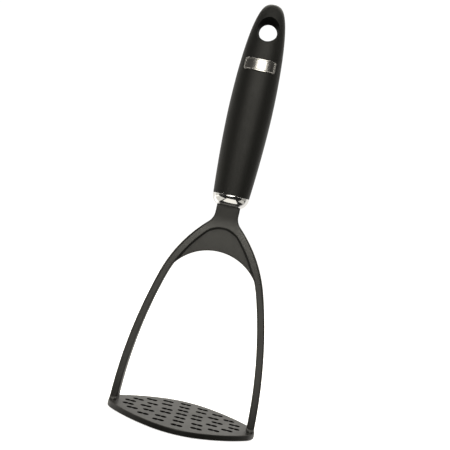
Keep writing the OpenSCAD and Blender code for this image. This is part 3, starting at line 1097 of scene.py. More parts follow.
@dataclass
class Yoke:
    """Neck, band, recessed web and both arms in one moulding, down to the feet's staked ends."""

    # Widths and depths.
    arm_width: float = 5.2
    band_depth: float = 5.6
    foot_depth: float = 10.5
    # Arcs of the arms, the shoulders and the neck.
    low_radius: float = 336.0
    high_radius: float = 94.7
    join_height: float = 94.7
    shoulder_radius: float = 9.7
    neck_width: float = 16.0
    shoulder_share: float = 0.35
    # The recess under the band, the web in it and their edges.
    recess_radius: float = 15.5
    web_depth: float = 3.2
    web_height: float = 16.4
    web_drop: float = 30.7
    edge_round: float = 1.15
    recess_round: float = 0.5
    recess_draft: float = 0.7
    recess_fillet: float = 0.35
    recess_room: float = 0.05
    settle_rate: float = 5.0
    groove_steep: float = 0.35
    web_round: float = 0.8
    least_web: float = 0.6
    # The feet, their tongues and the staked ends.
    tip_margin: float = 0.9
    foot_half: tuple[float, float] = (1.7, 5.25)
    tongue_half: tuple[float, float] = (1.2, 3.3)
    stake_lip: float = 0.7
    stake_top: float = 1.2
    stake_sink: float = 0.2
    stake_bevel: float = 0.3
    # The tang, and the neck's seat in the collar.
    tang_half: tuple[float, float] = (5.8, 2.1)
    tang_length: float = 52.0
    tang_taper: tuple[float, float] = (1.0, 0.5)
    tang_bevel: float = 1.0
    neck_seat: float = 0.8
    # How finely it is divided.
    arm_steps: int = 64
    band_steps: int = 44
    neck_steps: int = 22
    middle_rows: int = 5
    web_rows: int = 3
    # Heights of the plate's top and of the socket that the arm stands on.
    plate_top: float = 3.8
    seat_z: float = 6.5
    # Worked out from the solids and the sizes above.
    reach: float = field(init=False)
    foot_x: float = field(init=False)
    collar_z: float = field(init=False)
    low: Points = field(init=False)
    high: Points = field(init=False)
    join_turn: float = field(init=False)
    shoulder_x: float = field(init=False)
    shoulder_z: float = field(init=False)
    shoulder_turn: float = field(init=False)
    recess_z: float = field(init=False)
    recess_turn: float = field(init=False)
    web_end_x: float = field(init=False)
    web_end_z: float = field(init=False)
    web_turn: float = field(init=False)
    arch_radius: float = field(init=False)
    arch_z: float = field(init=False)

    def __post_init__(self) -> None:
        """Takes the arms' reach and the collar's place from the solids, and works out the arcs."""
        self.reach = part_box("mash_plate")[1].x / MM - self.tip_margin
        self.collar_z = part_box("collar")[0].z / MM
        self.foot_x = self.reach - self.arm_width / 2
        self.low = np.array([self.reach - self.low_radius, 0.0])
        self.join_turn = math.degrees(math.asin(self.join_height / self.low_radius))
        turn = math.radians(self.join_turn)
        way = np.array([math.cos(turn), math.sin(turn)])
        self.high = self.low + (self.low_radius - self.high_radius) * way
        self.shoulder_x = self.neck_width / 2 + self.shoulder_radius
        reach = self.high_radius + self.shoulder_radius
        self.shoulder_z = self.high[1] + math.sqrt(reach**2 - (self.shoulder_x - self.high[0]) ** 2)
        rise, run = self.shoulder_z - self.high[1], self.shoulder_x - self.high[0]
        self.shoulder_turn = math.degrees(math.atan2(rise, run))
        inner = self.high_radius - self.arm_width
        self.recess_z = self.high[1] + math.sqrt((inner - self.recess_radius) ** 2 - self.high[0] ** 2)
        self.recess_turn = math.degrees(math.atan2(self.recess_z - self.high[1], -self.high[0]))
        self.web_end_z = self.recess_z + self.recess_radius - self.web_drop
        self.web_end_x = self.high[0] + math.sqrt(inner**2 - (self.web_end_z - self.high[1]) ** 2)
        self.web_turn = math.degrees(math.atan2(self.web_end_z - self.high[1], self.web_end_x - self.high[0]))
        rise = self.web_drop - self.web_height
        self.arch_radius = (self.web_end_x**2 + rise**2) / (2 * rise)
        self.arch_z = self.web_end_z + rise - self.arch_radius

    def half_depth(self, height: np.ndarray) -> np.ndarray:
        """Half the moulding's depth, front to back.

        Args:
            height: Heights in the frame.

        Returns:
            Half the depth at each of them.
        """
        share = np.clip((height - self.seat_z) / (self.web_end_z - self.seat_z), 0.0, 1.0)
        flare = (1 + np.cos(math.pi * share)) / 2
        return self.band_depth / 2 + (self.foot_depth - self.band_depth) / 2 * flare

    def arm_rails(self) -> tuple[Rail, Rail]:
        """Both edges of the right arm, from its seat on the socket to the web's end.

        Returns:
            The outer and the inner edge.
        """
        rails = []
        for drawn, side in ((0.0, -1), (self.arm_width, 1)):
            low_radius = self.low_radius - drawn
            start = math.degrees(math.asin(self.seat_z / low_radius))
            below = Arc(tuple(self.low), low_radius, start, self.join_turn, side)
            above = Arc(tuple(self.high), self.high_radius - drawn, self.join_turn, self.web_turn, side)
            rails.append(Rail((below, above)))
        return rails[0], rails[1]

    def shoulder(self, start: float, end: float) -> Arc:
        """A part of the shoulder between band and neck, from one share of it to another."""
        turns = (180.0 + self.shoulder_turn * (1 - share) for share in (start, end))
        return Arc((self.shoulder_x, self.shoulder_z), self.shoulder_radius, *turns, 1)

    def band_rails(self) -> tuple[Rail, Rail, Rail]:
        """Edges of the band's right half, from the web's end to the middle.

        Returns:
            The outer edge, the top of the recess, and the arch.
        """
        centre, radius = tuple(self.high), self.high_radius
        outer = Arc(centre, radius, self.web_turn, self.shoulder_turn, -1)
        inner = Arc(centre, radius - self.arm_width, self.web_turn, self.recess_turn, 1)
        crown = Arc((0.0, self.recess_z), self.recess_radius, self.recess_turn, 90.0, 1)
        start = math.degrees(math.atan2(self.web_end_z - self.arch_z, self.web_end_x))
        arch = Arc((0.0, self.arch_z), self.arch_radius, start, 90.0, 1)
        return Rail((outer, self.shoulder(0.0, self.shoulder_share))), Rail((inner, crown)), Rail((arch,))

    def neck_rail(self) -> Rail:
        """Outer edge from the shoulder up the neck to its seat in the collar.

        Returns:
            The right edge.
        """
        half = self.neck_width / 2
        side = Line((half, self.shoulder_z), (half, self.collar_z + self.neck_seat), (-1.0, 0.0))
        return Rail((self.shoulder(self.shoulder_share, 1.0), side))

    @staticmethod
    def edge_rows(rail: Points, normal: Points, half: np.ndarray, radius: np.ndarray) -> list[Points]:
        """Rows over a rounded edge, from its wall to its face, in front of the middle plane."""
        return [upright(rail + normal * drawn[:, None], fall - half) for drawn, fall in rounding(radius)]

    @staticmethod
    def between(one: Points, other: Points, count: int) -> list[Points]:
        """Rows spaced evenly between two rows, without the two themselves."""
        return [one + (other - one) * i / (count + 1) for i in range(1, count + 1)]

    def arm_and_band(self) -> tuple[list[Points], int]:
        """The front right quarter, from the outer wall's middle to the inner wall's middle.

        Returns:
            Its rows, and the number of them before the inner edge.
        """
        arm = np.linspace(0.0, 1.0, self.arm_steps, endpoint=False)
        band = np.linspace(0.0, 1.0, self.band_steps)
        arm_outer, arm_inner = (rail.at(arm) for rail in self.arm_rails())
        outer, recess, arch = (rail.at(band) for rail in self.band_rails())
        out = [np.concatenate(pair) for pair in zip(arm_outer, outer)]
        top = [np.concatenate(pair) for pair in zip(arm_inner, recess)]
        low = [np.concatenate(pair) for pair in zip(arm_inner, arch)]
        half = self.half_depth((out[0][:, 1] + top[0][:, 1]) / 2)
        edge = np.full(len(half), self.edge_round)
        web = np.full(len(half), self.web_depth / 2)
        room = half - web - self.recess_fillet - self.recess_room
        settle = np.concatenate([np.zeros(len(arm)), np.clip(band * self.settle_rate, 0.0, 1.0)])
        recess_edge = np.minimum(edge, room) * (1 - settle) + self.recess_round * settle

        rows = [upright(out[0], 0.0), *self.edge_rows(out[0], out[1], half, edge)]
        inner_edge = self.edge_rows(top[0], top[1], half, recess_edge)[::-1]
        rows += self.between(rows[-1], inner_edge[0], self.middle_rows)
        face_rows = len(rows)
        rows += inner_edge

        gap = np.linalg.norm(top[0] - low[0], axis=1)
        need = self.recess_draft + self.recess_fillet + self.web_round + self.least_web
        squeeze = np.minimum(1.0, gap / need)[:, None]
        for back, up in rounding(self.recess_fillet, QUARTER_TURN[::2]):
            rows.append(upright(top[0] - top[1] * (self.recess_draft + back) * squeeze, -(web + up)))
        arch_edge = self.edge_rows(low[0], low[1] * squeeze, web, np.full(len(half), self.web_round))[::-1]
        rows += self.between(rows[-1], arch_edge[0], self.web_rows)
        return [*rows, *arch_edge, upright(low[0], 0.0)], face_rows

    def foot_loops(self, foot: Points) -> list[Points]:
        """Loops from an arm's end down through the socket and the plate to its staked end.

        Args:
            foot: Row of points across the arm's end, on the socket.

        Returns:
            The loops, the last of them drawn together to one point.
        """
        arm_x, arm_y = self.arm_width / 2, self.foot_depth / 2
        tongue_x, tongue_y = self.tongue_half
        stake_x, stake_y, bevel = tongue_x + self.stake_lip, tongue_y + self.stake_lip, self.stake_bevel
        steps = (
            (*self.foot_half, self.seat_z),
            (*self.foot_half, self.plate_top),
            (tongue_x, tongue_y, self.plate_top),
            (tongue_x, tongue_y, self.stake_top),
            (stake_x, stake_y, self.stake_top),
            (stake_x, stake_y, self.stake_sink + bevel),
            (stake_x - bevel, stake_y - bevel, self.stake_sink),
            (0.0, 0.0, self.stake_sink),
        )
        loops = []
        for half_x, half_y, height in steps:
            x = self.foot_x + (foot[:, 0] - self.foot_x) * half_x / arm_x
            y = foot[:, 1] * half_y / arm_y
            loops.append(np.column_stack([x, y, np.full(len(foot), height)]))
        return loops

    def neck_rows(self, rows: list[Points]) -> list[Points]:
        """Stations up the neck and the tang, each a row from the outer wall to the middle line.

        Args:
            rows: Rows of the arm and band up to the middle line, whose last station is the neck's first.

        Returns:
            The stations, from the band up to the tang's end.
        """
        first = np.array([row[-1] for row in rows])
        shares = np.linspace(0.0, 1.0, self.neck_steps)
        spots, normals = self.neck_rail().at(shares)
        middle_low, top = first[-1][2], self.collar_z + self.neck_seat
        stations = [first]
        half = self.band_depth / 2
        for share, spot, normal in zip(shares[1:], spots[1:], normals[1:]):
            edge = self.edge_rows(spot[None], normal[None], np.array([half]), np.array([self.edge_round]))
            face = [row[0] for row in edge]
            middle = np.array([0.0, -half, middle_low + (top - middle_low) * share])
            across = self.between(face[-1], middle, self.middle_rows)
            stations.append(np.array([[spot[0], 0.0, spot[1]], *face, *across, middle]))
        end = top + self.tang_length
        last = stations[-1]
        tip = (side - taper for side, taper in zip(self.tang_half, self.tang_taper))
        steps = (
            (*self.tang_half, top), (*self.tang_half, end - self.tang_bevel), (*tip, end), (0.0, 0.0, end),
        )
        for half_x, half_y, height in steps:
            x = last[:, 0] * half_x / (self.neck_width / 2)
            y = last[:, 1] * half_y / half
            stations.append(np.column_stack([x, y, np.full(len(last), height)]))
        return stations

    def paint_groove_shade(self, piece: bpy.types.Object, groove_shade_finish: Finish) -> None:
        """Gives the wall round the web's recess a darker, duller finish, which paints the shade in the
        recess.

        Args:
            piece: The yoke, with its first material.
            groove_shade_finish: The darker finish of the recess's wall, painted shade.
        """
        piece.data.materials.append(groove_shade_finish.material())
        top = self.recess_z + self.recess_radius + self.recess_draft
        for face in piece.data.polygons:
            x, y, z = face.center / MM
            up = z - self.arch_z
            inwards = -(face.normal.x * x + face.normal.z * up) / math.hypot(x, up)
            in_recess = self.web_end_z < z < top and self.web_depth / 2 < abs(y) < self.band_depth / 2
            # Faces of the recess's wall that turn inwards take the painted shade.
            if in_recess and inwards > self.groove_steep:
                face.material_index = 1

    def build(self, finish: Finish, groove_shade_finish: Finish) -> bpy.types.Object:
        """Makes the yoke from its front right quarter.

        Args:
            finish: Its finish.
            groove_shade_finish: The darker finish of the wall round its recess, painted shade.

        Returns:
            The finished piece.
        """
        rows, face_rows = self.arm_and_band()
        foot = np.array([row[0] for row in rows])
        skin = Skin()
        for loops in (rows, [foot, *self.foot_loops(foot)], self.neck_rows(rows[: face_rows + 1])):
            skin.tube(loops, closed=False)
        skin.mirror(1)
        skin.mirror(0)
        piece = skin.build("yoke_moulding")
        piece.data.materials.append(finish.material())
        self.paint_groove_shade(piece, groove_shade_finish)
        finish_piece(piece, finish.material(), "nylon", "yoke")
        return piece


# ---------------------------------------------------------------- handle


@dataclass
class GripForm:
    """The rule behind the grip's shape: superellipse sections that swell and close to a dome."""

    # Half width and half depth at the lower end and at the widest place, and half depth towards the top.
    low_half: tuple[float, float] = (12.5, 9.4)
    wide_half: tuple[float, float] = (15.15, 11.0)
    end_half_depth: float = 6.0
    widest: float = 58.7
    # Exponents of the sections, of the swell, and of the dome's width and depth.
    power: float = 2.3
    swell_power: float = 1.75
    width_power: float = 0.64
    depth_power: float = 0.4
    least_half: float = 1e-6
    # Taken from the solid.
    bottom: float = field(init=False)
    top: float = field(init=False)

    def __post_init__(self) -> None:
        """Takes the grip's ends from its solid."""
        low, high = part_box("grip_sleeve")
        self.bottom, self.top = low.z / MM, high.z / MM

    def half(self, height: np.ndarray, inset: float = 0.0) -> tuple[np.ndarray, np.ndarray]:
        """Half width and half depth of the grip at a height.

        Args:
            height: Height in the frame.
            inset: Distance by which the form is drawn in.

        Returns:
            The two halves.
        """
        up = np.asarray(height, float) - self.bottom
        below = np.clip(1 - up / self.widest, 0.0, 1.0) ** self.swell_power
        share = np.clip((up - self.widest) / (self.top - inset - self.bottom - self.widest), 0.0, 1.0)
        close = np.sqrt(1 - share**2)
        width = self.wide_half[0] - (self.wide_half[0] - self.low_half[0]) * below
        depth = self.wide_half[1] - (self.wide_half[1] - self.low_half[1]) * below
        depth = depth - (self.wide_half[1] - self.end_half_depth) * share**2
        return (width - inset) * close**self.width_power, (depth - inset) * close**self.depth_power

    def front(self, x: np.ndarray, height: np.ndarray, inset: float = 0.0) -> np.ndarray:
        """Distance of the grip's face from its middle plane.

        Args:
            x: Places across the grip, seen from the front.
            height: Heights in the frame.
            inset: Distance by which the form is drawn in.

        Returns:
            The distance at each place.
        """
        half_x, half_y = self.half(height, inset)
        share = np.clip(np.abs(x) / np.maximum(half_x, self.least_half), 0.0, 1.0)
        return half_y * (1 - share**self.power) ** (1 / self.power)

    def bent(self, flat: Points, centre_z: float, level: float = 0.0) -> Points:
        """A flat outline round a height, bent onto the grip's front and raised from it by a level."""
        height = flat[:, 1] + centre_z
        return upright(np.column_stack([flat[:, 0], height]), -(self.front(flat[:, 0], height) + level))

    def ring(self, height: float, count: int, inset: float = 0.0, drawn: float = 0.0) -> Points:
        """Section of the grip at a height, starting at +X and running over the front."""
        half_x, half_y = (float(half) - drawn for half in self.half(np.array(height), inset))
        return lifted(oval(half_x, half_y, self.power, count) * (1, -1), height)


@dataclass(frozen=True)
class Block:
    """A block of a form's surface that gives way to another shape.

    Attributes:
        rings: Its first and last ring.
        columns: Its first and last column.
    """

    rings: tuple[int, int]
    columns: tuple[int, int]

    def cells(self) -> set[tuple[int, int]]:
        """Ring and column of each of its faces."""
        return {(ring, column) for ring in range(*self.rings) for column in range(*self.columns)}

    def edge(self, rings: list[Loop]) -> Loop:
        """Vertices round the block, in order.

        Args:
            rings: All rings of the form.

        Returns:
            The vertices of the block's edge.
        """
        (low, high), (first, last) = self.rings, self.columns
        edge = [rings[low][column] for column in range(first, last)]
        edge += [rings[ring][last] for ring in range(low, high)]
        edge += [rings[high][column] for column in range(last, first, -1)]
        edge += [rings[ring][first] for ring in range(high, low, -1)]
        return edge


@dataclass
class Grip:
    """The soft sleeve: a hollow moulding with a flared hanging hole and a recess for the badge."""

    form: GripForm
    # How finely it is divided, and where its rings and columns give way to the hole and the badge.
    columns: int = 144
    badge_rings: int = 12
    hole_rings: int = 20
    dome_rings: int = 16
    ring_gap: float = 1.9
    dome_end: float = 89.4
    dome_margin: float = 3.2
    hole_margins: tuple[float, float] = (4.5, 3.0)
    badge_margins: tuple[float, float] = (3.2, 2.6)
    front_sector: tuple[int, int] = (30, 150)
    back_sector: tuple[int, int] = (210, 330)
    badge_sector: tuple[int, int] = (20, 160)
    # The wall, its lower edge and the hanging hole.
    wall: float = 2.2
    lower_round: float = 0.5
    land: float = 1.6
    mouth_half: tuple[float, float] = (7.4, 8.9)
    mouth_rise: float = 1.5
    mouth_bend: float = 0.12
    mouth_steps: int = 15
    mouth_power: float = 1.5
    mouth_shares: tuple[float, ...] = (0.25, 0.5, 0.72, 0.88)
    lining: float = 1.6
    mouth_lining: float = 0.6
    steep_wall: float = 0.86
    # The recess for the badge.
    recess_shares: tuple[float, ...] = (0.3, 0.6, 0.85)
    recess_round: float = 0.2
    recess_depth: float = 1.1
    recess_floor: tuple[float, ...] = (0.8, 2.0)
    recess_seam: float = 0.02
    # Taken from the record.
    hole_z: float = field(init=False)
    hole_radius: float = field(init=False)

    def __post_init__(self) -> None:
        """Takes the hanging hole from the record's mount."""
        mount = next(m for m in frame["record"]["mounts"] if m["name"] == "hanging_hole")
        self.hole_z = mount["pos_m"][2] / MM
        self.hole_radius = mount["dims"]["r_mm"]

    def heights(self, bands: Sequence[tuple[float, float, int]]) -> tuple[list[float], list[tuple[int, int]]]:
        """Heights of all rings, with a block of rings for each band.

        Args:
            bands: Lower end, upper end and number of steps of each band, from the bottom up.

        Returns:
            The heights, and the first and last ring of each band.
        """
        steps: list[float] = []
        blocks = []
        at = self.form.bottom + self.lower_round
        for low, high, count in bands:
            gap_steps = max(1, round((low - at) / self.ring_gap))
            steps += list(np.linspace(at, low, gap_steps, endpoint=False))
            blocks.append((len(steps), len(steps) + count))
            steps += list(np.linspace(low, high, count, endpoint=False))
            at = high
        span = self.form.top - self.form.bottom - self.form.widest
        base = self.form.bottom + self.form.widest
        start = math.asin(min(1.0, (at - base) / span))
        turns = np.linspace(start, math.radians(self.dome_end), self.dome_rings)
        return steps + [base + span * math.sin(turn) for turn in turns], blocks

    def sector(self, angles: tuple[int, int]) -> tuple[int, int]:
        """First and last column between two angles."""
        return round(angles[0] * self.columns / 360), round(angles[1] * self.columns / 360)

    def shell(self, skin: Skin, inset: float, badge: Optional["Badge"]) -> tuple[Loop, list[Loop]]:
        """Adds one skin of the sleeve, with its hanging hole.

        Args:
            skin: The skin that is filled.
            inset: Distance by which it is drawn in from the outside.
            badge: The badge that the skin has a recess for, where it has one.

        Returns:
            Its lowest ring, and the loops of its hole at the front and at the back.
        """
        half_y, (below, above) = self.mouth_half[1], self.hole_margins
        top = min(self.hole_z + half_y + above, self.form.top - inset - self.dome_margin)
        bands = [(self.hole_z - half_y - below, top, self.hole_rings)]
        if badge is not None:
            below, above = self.badge_margins
            low, high = badge.centre_z - badge.half_h - below, badge.centre_z + badge.half_h + above
            bands.insert(0, (low, high, self.badge_rings))
        heights, spans = self.heights(bands)
        rings = [skin.loop(self.form.ring(height, self.columns, inset)) for height in heights]
        front = Block(spans[-1], self.sector(self.front_sector))
        back = Block(spans[-1], self.sector(self.back_sector))
        blocks = [front, back]
        if badge is not None:
            blocks.append(Block(spans[0], self.sector(self.badge_sector)))
        cut = set().union(*(block.cells() for block in blocks))
        for i, (one, other) in enumerate(zip(rings, rings[1:])):
            for j in range(self.columns):
                if (i, j) not in cut:
                    k = (j + 1) % self.columns
                    skin.faces.append((one[j], one[k], other[k], other[j]))
        tip = skin.loop(np.array([[0.0, 0.0, self.form.top - inset]]))[0]
        last = rings[-1]
        for j in range(self.columns):
            skin.faces.append((last[j], last[(j + 1) % self.columns], tip))
        holes = [self.hole(skin, block.edge(rings), inset, way) for block, way in ((front, -1), (back, 1))]
        if badge is not None:
            self.recess(skin, blocks[-1].edge(rings), badge)
        return rings[0], holes

    def hole(self, skin: Skin, edge: Loop, inset: float, way: int) -> Loop:
        """Adds the flared mouth of the hanging hole on one face, down to the hole's middle.

        Args:
            skin: The skin that is filled.
            edge: Vertices round the hole's block.
            inset: Distance by which the form is drawn in.
            way: -1 for the front, 1 for the back.

        Returns:
            The loop at the middle of the hole.
        """
        extra = self.lining if inset > 0 else 0.0
        spots = np.array([skin.points[v] for v in edge])
        x, z = spots[:, 0], spots[:, 2] - self.hole_z
        mouth_x, mouth_z = (half + extra * self.mouth_lining for half in self.mouth_half)
        turn = np.arctan2((z - self.mouth_rise) / mouth_z, x / mouth_x)
        bore = self.hole_radius + extra
        mouth = np.column_stack([mouth_x * np.cos(turn), mouth_z * np.sin(turn) + self.mouth_rise])
        wall = np.column_stack([bore * np.cos(turn), bore * np.sin(turn)])
        flat_edge = np.column_stack([x, z])

        def face(flat: Points, drop: float) -> Points:
            """Points on the grip's face, lowered towards the hole's straight part.

            Args:
                flat: Places round the hole's middle, seen from the front.
                drop: Share of the way down.

            Returns:
                The points in space.
            """
            height = flat[:, 1] + self.hole_z
            depth = self.form.front(flat[:, 0], height, inset) * (1 - drop) + (self.land / 2) * drop
            return upright(np.column_stack([flat[:, 0], height]), way * depth)

        loops = [face(flat_edge + (mouth - flat_edge) * share, 0.0) for share in self.mouth_shares]
        bend = self.mouth_bend
        for inwards in np.linspace(0.0, 1.0, self.mouth_steps) ** self.mouth_power:
            drop = (math.hypot(inwards, bend) - bend) / (math.hypot(1.0, bend) - bend)
            loops.append(face(mouth + (wall - mouth) * inwards, drop))
        loops.append(upright(wall + (0.0, self.hole_z), 0.0))
        return skin.funnel(edge, loops)

    def facing(self, back: Loop) -> Loop:
        """The back hole's loop, in the order in which the front one runs."""
        first, last = self.sector(self.front_sector)
        return [back[(last - first - i) % len(back)] for i in range(len(back))]

    def recess(self, skin: Skin, edge: Loop, badge: "Badge") -> None:
        """Adds the recess for the badge, with its floor.

        Args:
            skin: The skin that is filled.
            edge: Vertices round the recess's block.
            badge: The badge that lies in the recess.
        """
        spots = np.array([skin.points[v] for v in edge])
        flat_edge = np.column_stack([spots[:, 0], spots[:, 2] - badge.centre_z])
        reach = np.abs(flat_edge).max(axis=0)
        square = flat_edge / reach
        square = square / np.abs(square).max(axis=1)[:, None]

        def outline(grown: float, drop: float) -> Points:
            """The recess's outline, grown, at a depth below the grip's face."""
            return self.form.bent(badge.outline(square, badge.gap + grown), badge.centre_z, -drop)

        start = outline(self.recess_round, 0.0)[:, (0, 2)] - (0.0, badge.centre_z)
        inwards = [flat_edge + (start - flat_edge) * share for share in self.recess_shares]
        loops = [self.form.bent(flat, badge.centre_z) for flat in inwards]
        loops += [outline(drawn, fall) for drawn, fall in rounding(self.recess_round, QUARTER_TURN[::-2])]
        for drawn in (0.0, *self.recess_floor, badge.half_h + badge.gap - self.recess_seam):
            loops.append(outline(-drawn, self.recess_depth))
        skin.funnel(edge, loops)

    def paint_hole_shade(self, piece: bpy.types.Object, mouth_shade_finish: Finish) -> None:
        """Gives the steep walls of the hanging hole a darker, duller finish, which paints the shade inside
        the hole.

        Args:
            piece: The sleeve, with its first material.
            mouth_shade_finish: The darker finish of the hole's walls, painted shade.
        """
        piece.data.materials.append(mouth_shade_finish.material())
        reach = max(self.mouth_half) + self.mouth_rise
        for face in piece.data.polygons:
            x, up = face.center.x / MM, face.center.z / MM - self.hole_z
            inwards = face.normal.x * x + face.normal.z * up <= 0
            # The steep walls inside the hole take the painted shade.
            if math.hypot(x, up) < reach and inwards and abs(face.normal.y) < self.steep_wall:
                face.material_index = 1

    def build(self, badge: "Badge", finish: Finish, mouth_shade_finish: Finish) -> bpy.types.Object:
        """Makes the hollow sleeve.

        Args:
            badge: The badge that it carries.
            finish: Its finish.
            mouth_shade_finish: The darker finish of the hanging hole's walls, painted shade.

        Returns:
            The finished piece.
        """
        skin = Skin()
        outer_ring, outer_holes = self.shell(skin, 0.0, badge)
        inner_ring, inner_holes = self.shell(skin, self.wall, None)
        for front_hole, back_hole in (outer_holes, inner_holes):
            skin.bridge(front_hole, self.facing(back_hole))
        bottom = self.form.bottom
        lower = []
        for drawn, fall in rounding(self.lower_round, QUARTER_TURN[1:]):
            section = self.form.ring(bottom + self.lower_round, self.columns, drawn=drawn)
            lower.append(lifted(section[:, :2], bottom + fall))
        lower.append(self.form.ring(bottom, self.columns, self.wall))
        loops = [outer_ring, *[skin.loop(points) for points in lower], inner_ring]
        for one, other in zip(loops, loops[1:]):
            skin.bridge(one, other)
        piece = skin.build("soft_grip_sleeve")
        piece.data.materials.append(finish.material())
        self.paint_hole_shade(piece, mouth_shade_finish)
        finish_piece(piece, finish.material(), "soft_grip", "grip_sleeve")
        return piece


@dataclass
class Badge:
    """The bright bare badge with its raised frame, bent to the front of the grip."""

    form: GripForm
    # Its corners, the gap round it, and how far it stands out of the grip and reaches into it.
    corner: float = 1.2
    gap: float = 0.15
    proud: float = 0.3
    depth: float = 0.8
    # The raised frame.
    frame_width: float = 0.8
    frame_height: float = 0.25
    frame_toe: tuple[float, float] = (0.08, 0.05)
    edge_round: float = 0.14
    # How finely it is divided, and where its loops end.
    outline_steps: tuple[int, int] = (60, 16)
    field_insets: tuple[float, ...] = (1.4, 2.1, 2.8, 3.5)
    back_inset: float = 2.0
    seam: float = 0.01
    # Taken from the solid.
    half_w: float = field(init=False)
    half_h: float = field(init=False)
    centre_z: float = field(init=False)

    def __post_init__(self) -> None:
        """Takes the badge's size and place from its solid."""
        low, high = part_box("badge")
        self.half_w = (high.x - low.x) / 2 / MM
        self.half_h = (high.z - low.z) / 2 / MM
        self.centre_z = (high.z + low.z) / 2 / MM

    def outline(self, square: Points, grown: float) -> Points:
        """The badge's rounded outline, grown by a distance, or drawn in where it is below 0."""
        return rounded_box(square, self.half_w + grown, self.half_h + grown, self.corner + grown)

    def build(self, finish: Finish) -> bpy.types.Object:
        """Makes the badge.

        Args:
            finish: Its finish.

        Returns:
            The finished piece.
        """
        square = square_edge(*self.outline_steps)
        edge, proud, middle = self.edge_round, self.proud, self.half_h - self.seam
        field_level, inner = proud - self.frame_height, self.frame_width - edge
        toe, toe_rise = self.frame_toe
        steps = [(grown, -self.depth) for grown in (-middle, -self.back_inset, 0.0)] + [(0.0, proud - edge)]
        steps += [(-drawn, proud - fall) for drawn, fall in rounding(edge, QUARTER_TURN[1:])]
        steps += [(-inner - edge * math.sin(t), proud - edge * (1 - math.cos(t))) for t in QUARTER_TURN]
        steps += [(-self.frame_width, field_level + toe_rise), (-self.frame_width - toe, field_level)]
        steps += [(-inset, field_level) for inset in (*self.field_insets, middle)]
        loops = [self.form.bent(self.outline(square, grown), self.centre_z, level) for grown, level in steps]
        for end in (0, -1):
            loops[end][:, 2] = self.centre_z
        skin = Skin()
        skin.tube(loops)
        piece = skin.build("bare_badge")
        finish_piece(piece, finish.material(), "bright_plating", "badge")
        return piece


@dataclass
class Collar:
    """The bowl-shaped plated collar between the neck and the grip."""

    yoke: Yoke
    form: GripForm
    # The bowl, its wall and its edges.
    lip: float = 0.1
    bowl_radius: float = 8.6
    wall: float = 1.2
    floor: float = 1.8
    gap: float = 0.1
    top_round: float = 0.15
    bowl_start: float = 0.25
    lower_steps: tuple[tuple[float, float], ...] = ((0.17, 0.06), (0.35, 0.0))
    # The opening for the neck.
    neck_power: float = 6.0
    neck_bevel: float = 0.15
    # How finely it is divided.
    rings: int = 18
    columns: int = 128

    def build(self, finish: Finish) -> bpy.types.Object:
        """Makes the collar as one closed ring.

        Args:
            finish: Its finish.

        Returns:
            The finished piece.
        """
        low, high = (corner.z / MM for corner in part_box("collar"))
        tall = high - low
        half_x, half_y = (half + self.lip for half in self.form.low_half)
        yoke, power = self.yoke, self.form.power

        def drawn_in(up: float) -> float:
            """How far the bowl is drawn in at a height above its lower edge."""
            return self.bowl_radius - math.sqrt(self.bowl_radius**2 - (tall - up) ** 2)

        steps = [
            (half_x - drawn, half_y - drawn, power, high - fall)
            for drawn, fall in rounding(self.top_round, QUARTER_TURN[::-1])
        ]
        heights = np.linspace(tall - self.top_round, self.bowl_start, self.rings)[1:]
        bowl = [(drawn_in(up), up) for up in heights]
        bowl += [(drawn_in(0.0) + drawn, up) for drawn, up in self.lower_steps]
        steps += [(half_x - drawn, half_y - drawn, power, low + up) for drawn, up in bowl]
        neck_x, neck_y = yoke.neck_width / 2 + self.gap, yoke.band_depth / 2 + self.gap
        tang_x, tang_y = (half + self.gap for half in yoke.tang_half)
        inner, seat = drawn_in(self.floor) + self.wall, self.neck_power
        steps += [
            (neck_x, neck_y + self.neck_bevel, seat, low),
            (neck_x, neck_y, seat, low + self.neck_bevel),
            (neck_x, neck_y, seat, low + yoke.neck_seat),
            (tang_x, tang_y, seat, low + yoke.neck_seat),
            (tang_x, tang_y, seat, low + self.floor),
            (half_x - inner, half_y - inner, power, low + self.floor),
            (half_x - inner, half_y - inner, power, high),
        ]
        loops = [lifted(oval(x, y, exponent, self.columns), height) for x, y, exponent, height in steps]
        skin = Skin()
        made = skin.tube(loops)
        skin.bridge(made[-1], made[0])
        piece = skin.build("plated_collar")
        finish_piece(piece, finish.material(), "bright_plating", "collar")
        return piece


# ---------------------------------------------------------------- studio


@dataclass(frozen=True)
class SoftBox:
    """A soft rectangular lamp that faces the masher.

    Attributes:
        name: Name of the lamp.
        place: Where its middle hangs.
        size: Its width and height.
        power: Its power in watts.
        colour: Colour of its light.
        aim: The height that it faces.
    """

    name: str
    place: tuple[float, float, float]
    size: tuple[float, float]
    power: float
    colour: tuple[float, float, float] = (1.0, 0.97, 0.87)
    aim: float = 0.14

    def hang(self) -> None:
        """Adds the lamp to the scene."""
        data = bpy.data.lights.new(self.name, "AREA")
        data.shape = "RECTANGLE"
        data.size, data.size_y = self.size
        data.energy = self.power
        data.color = self.colour
        lamp = add_object(self.name, data)
        lamp.location = self.place
        lamp.visible_camera = False
        towards = Vector((0.0, 0.0, self.aim)) - Vector(self.place)
        lamp.rotation_mode = "QUATERNION"
        lamp.rotation_quaternion = towards.to_track_quat("-Z", "Y")


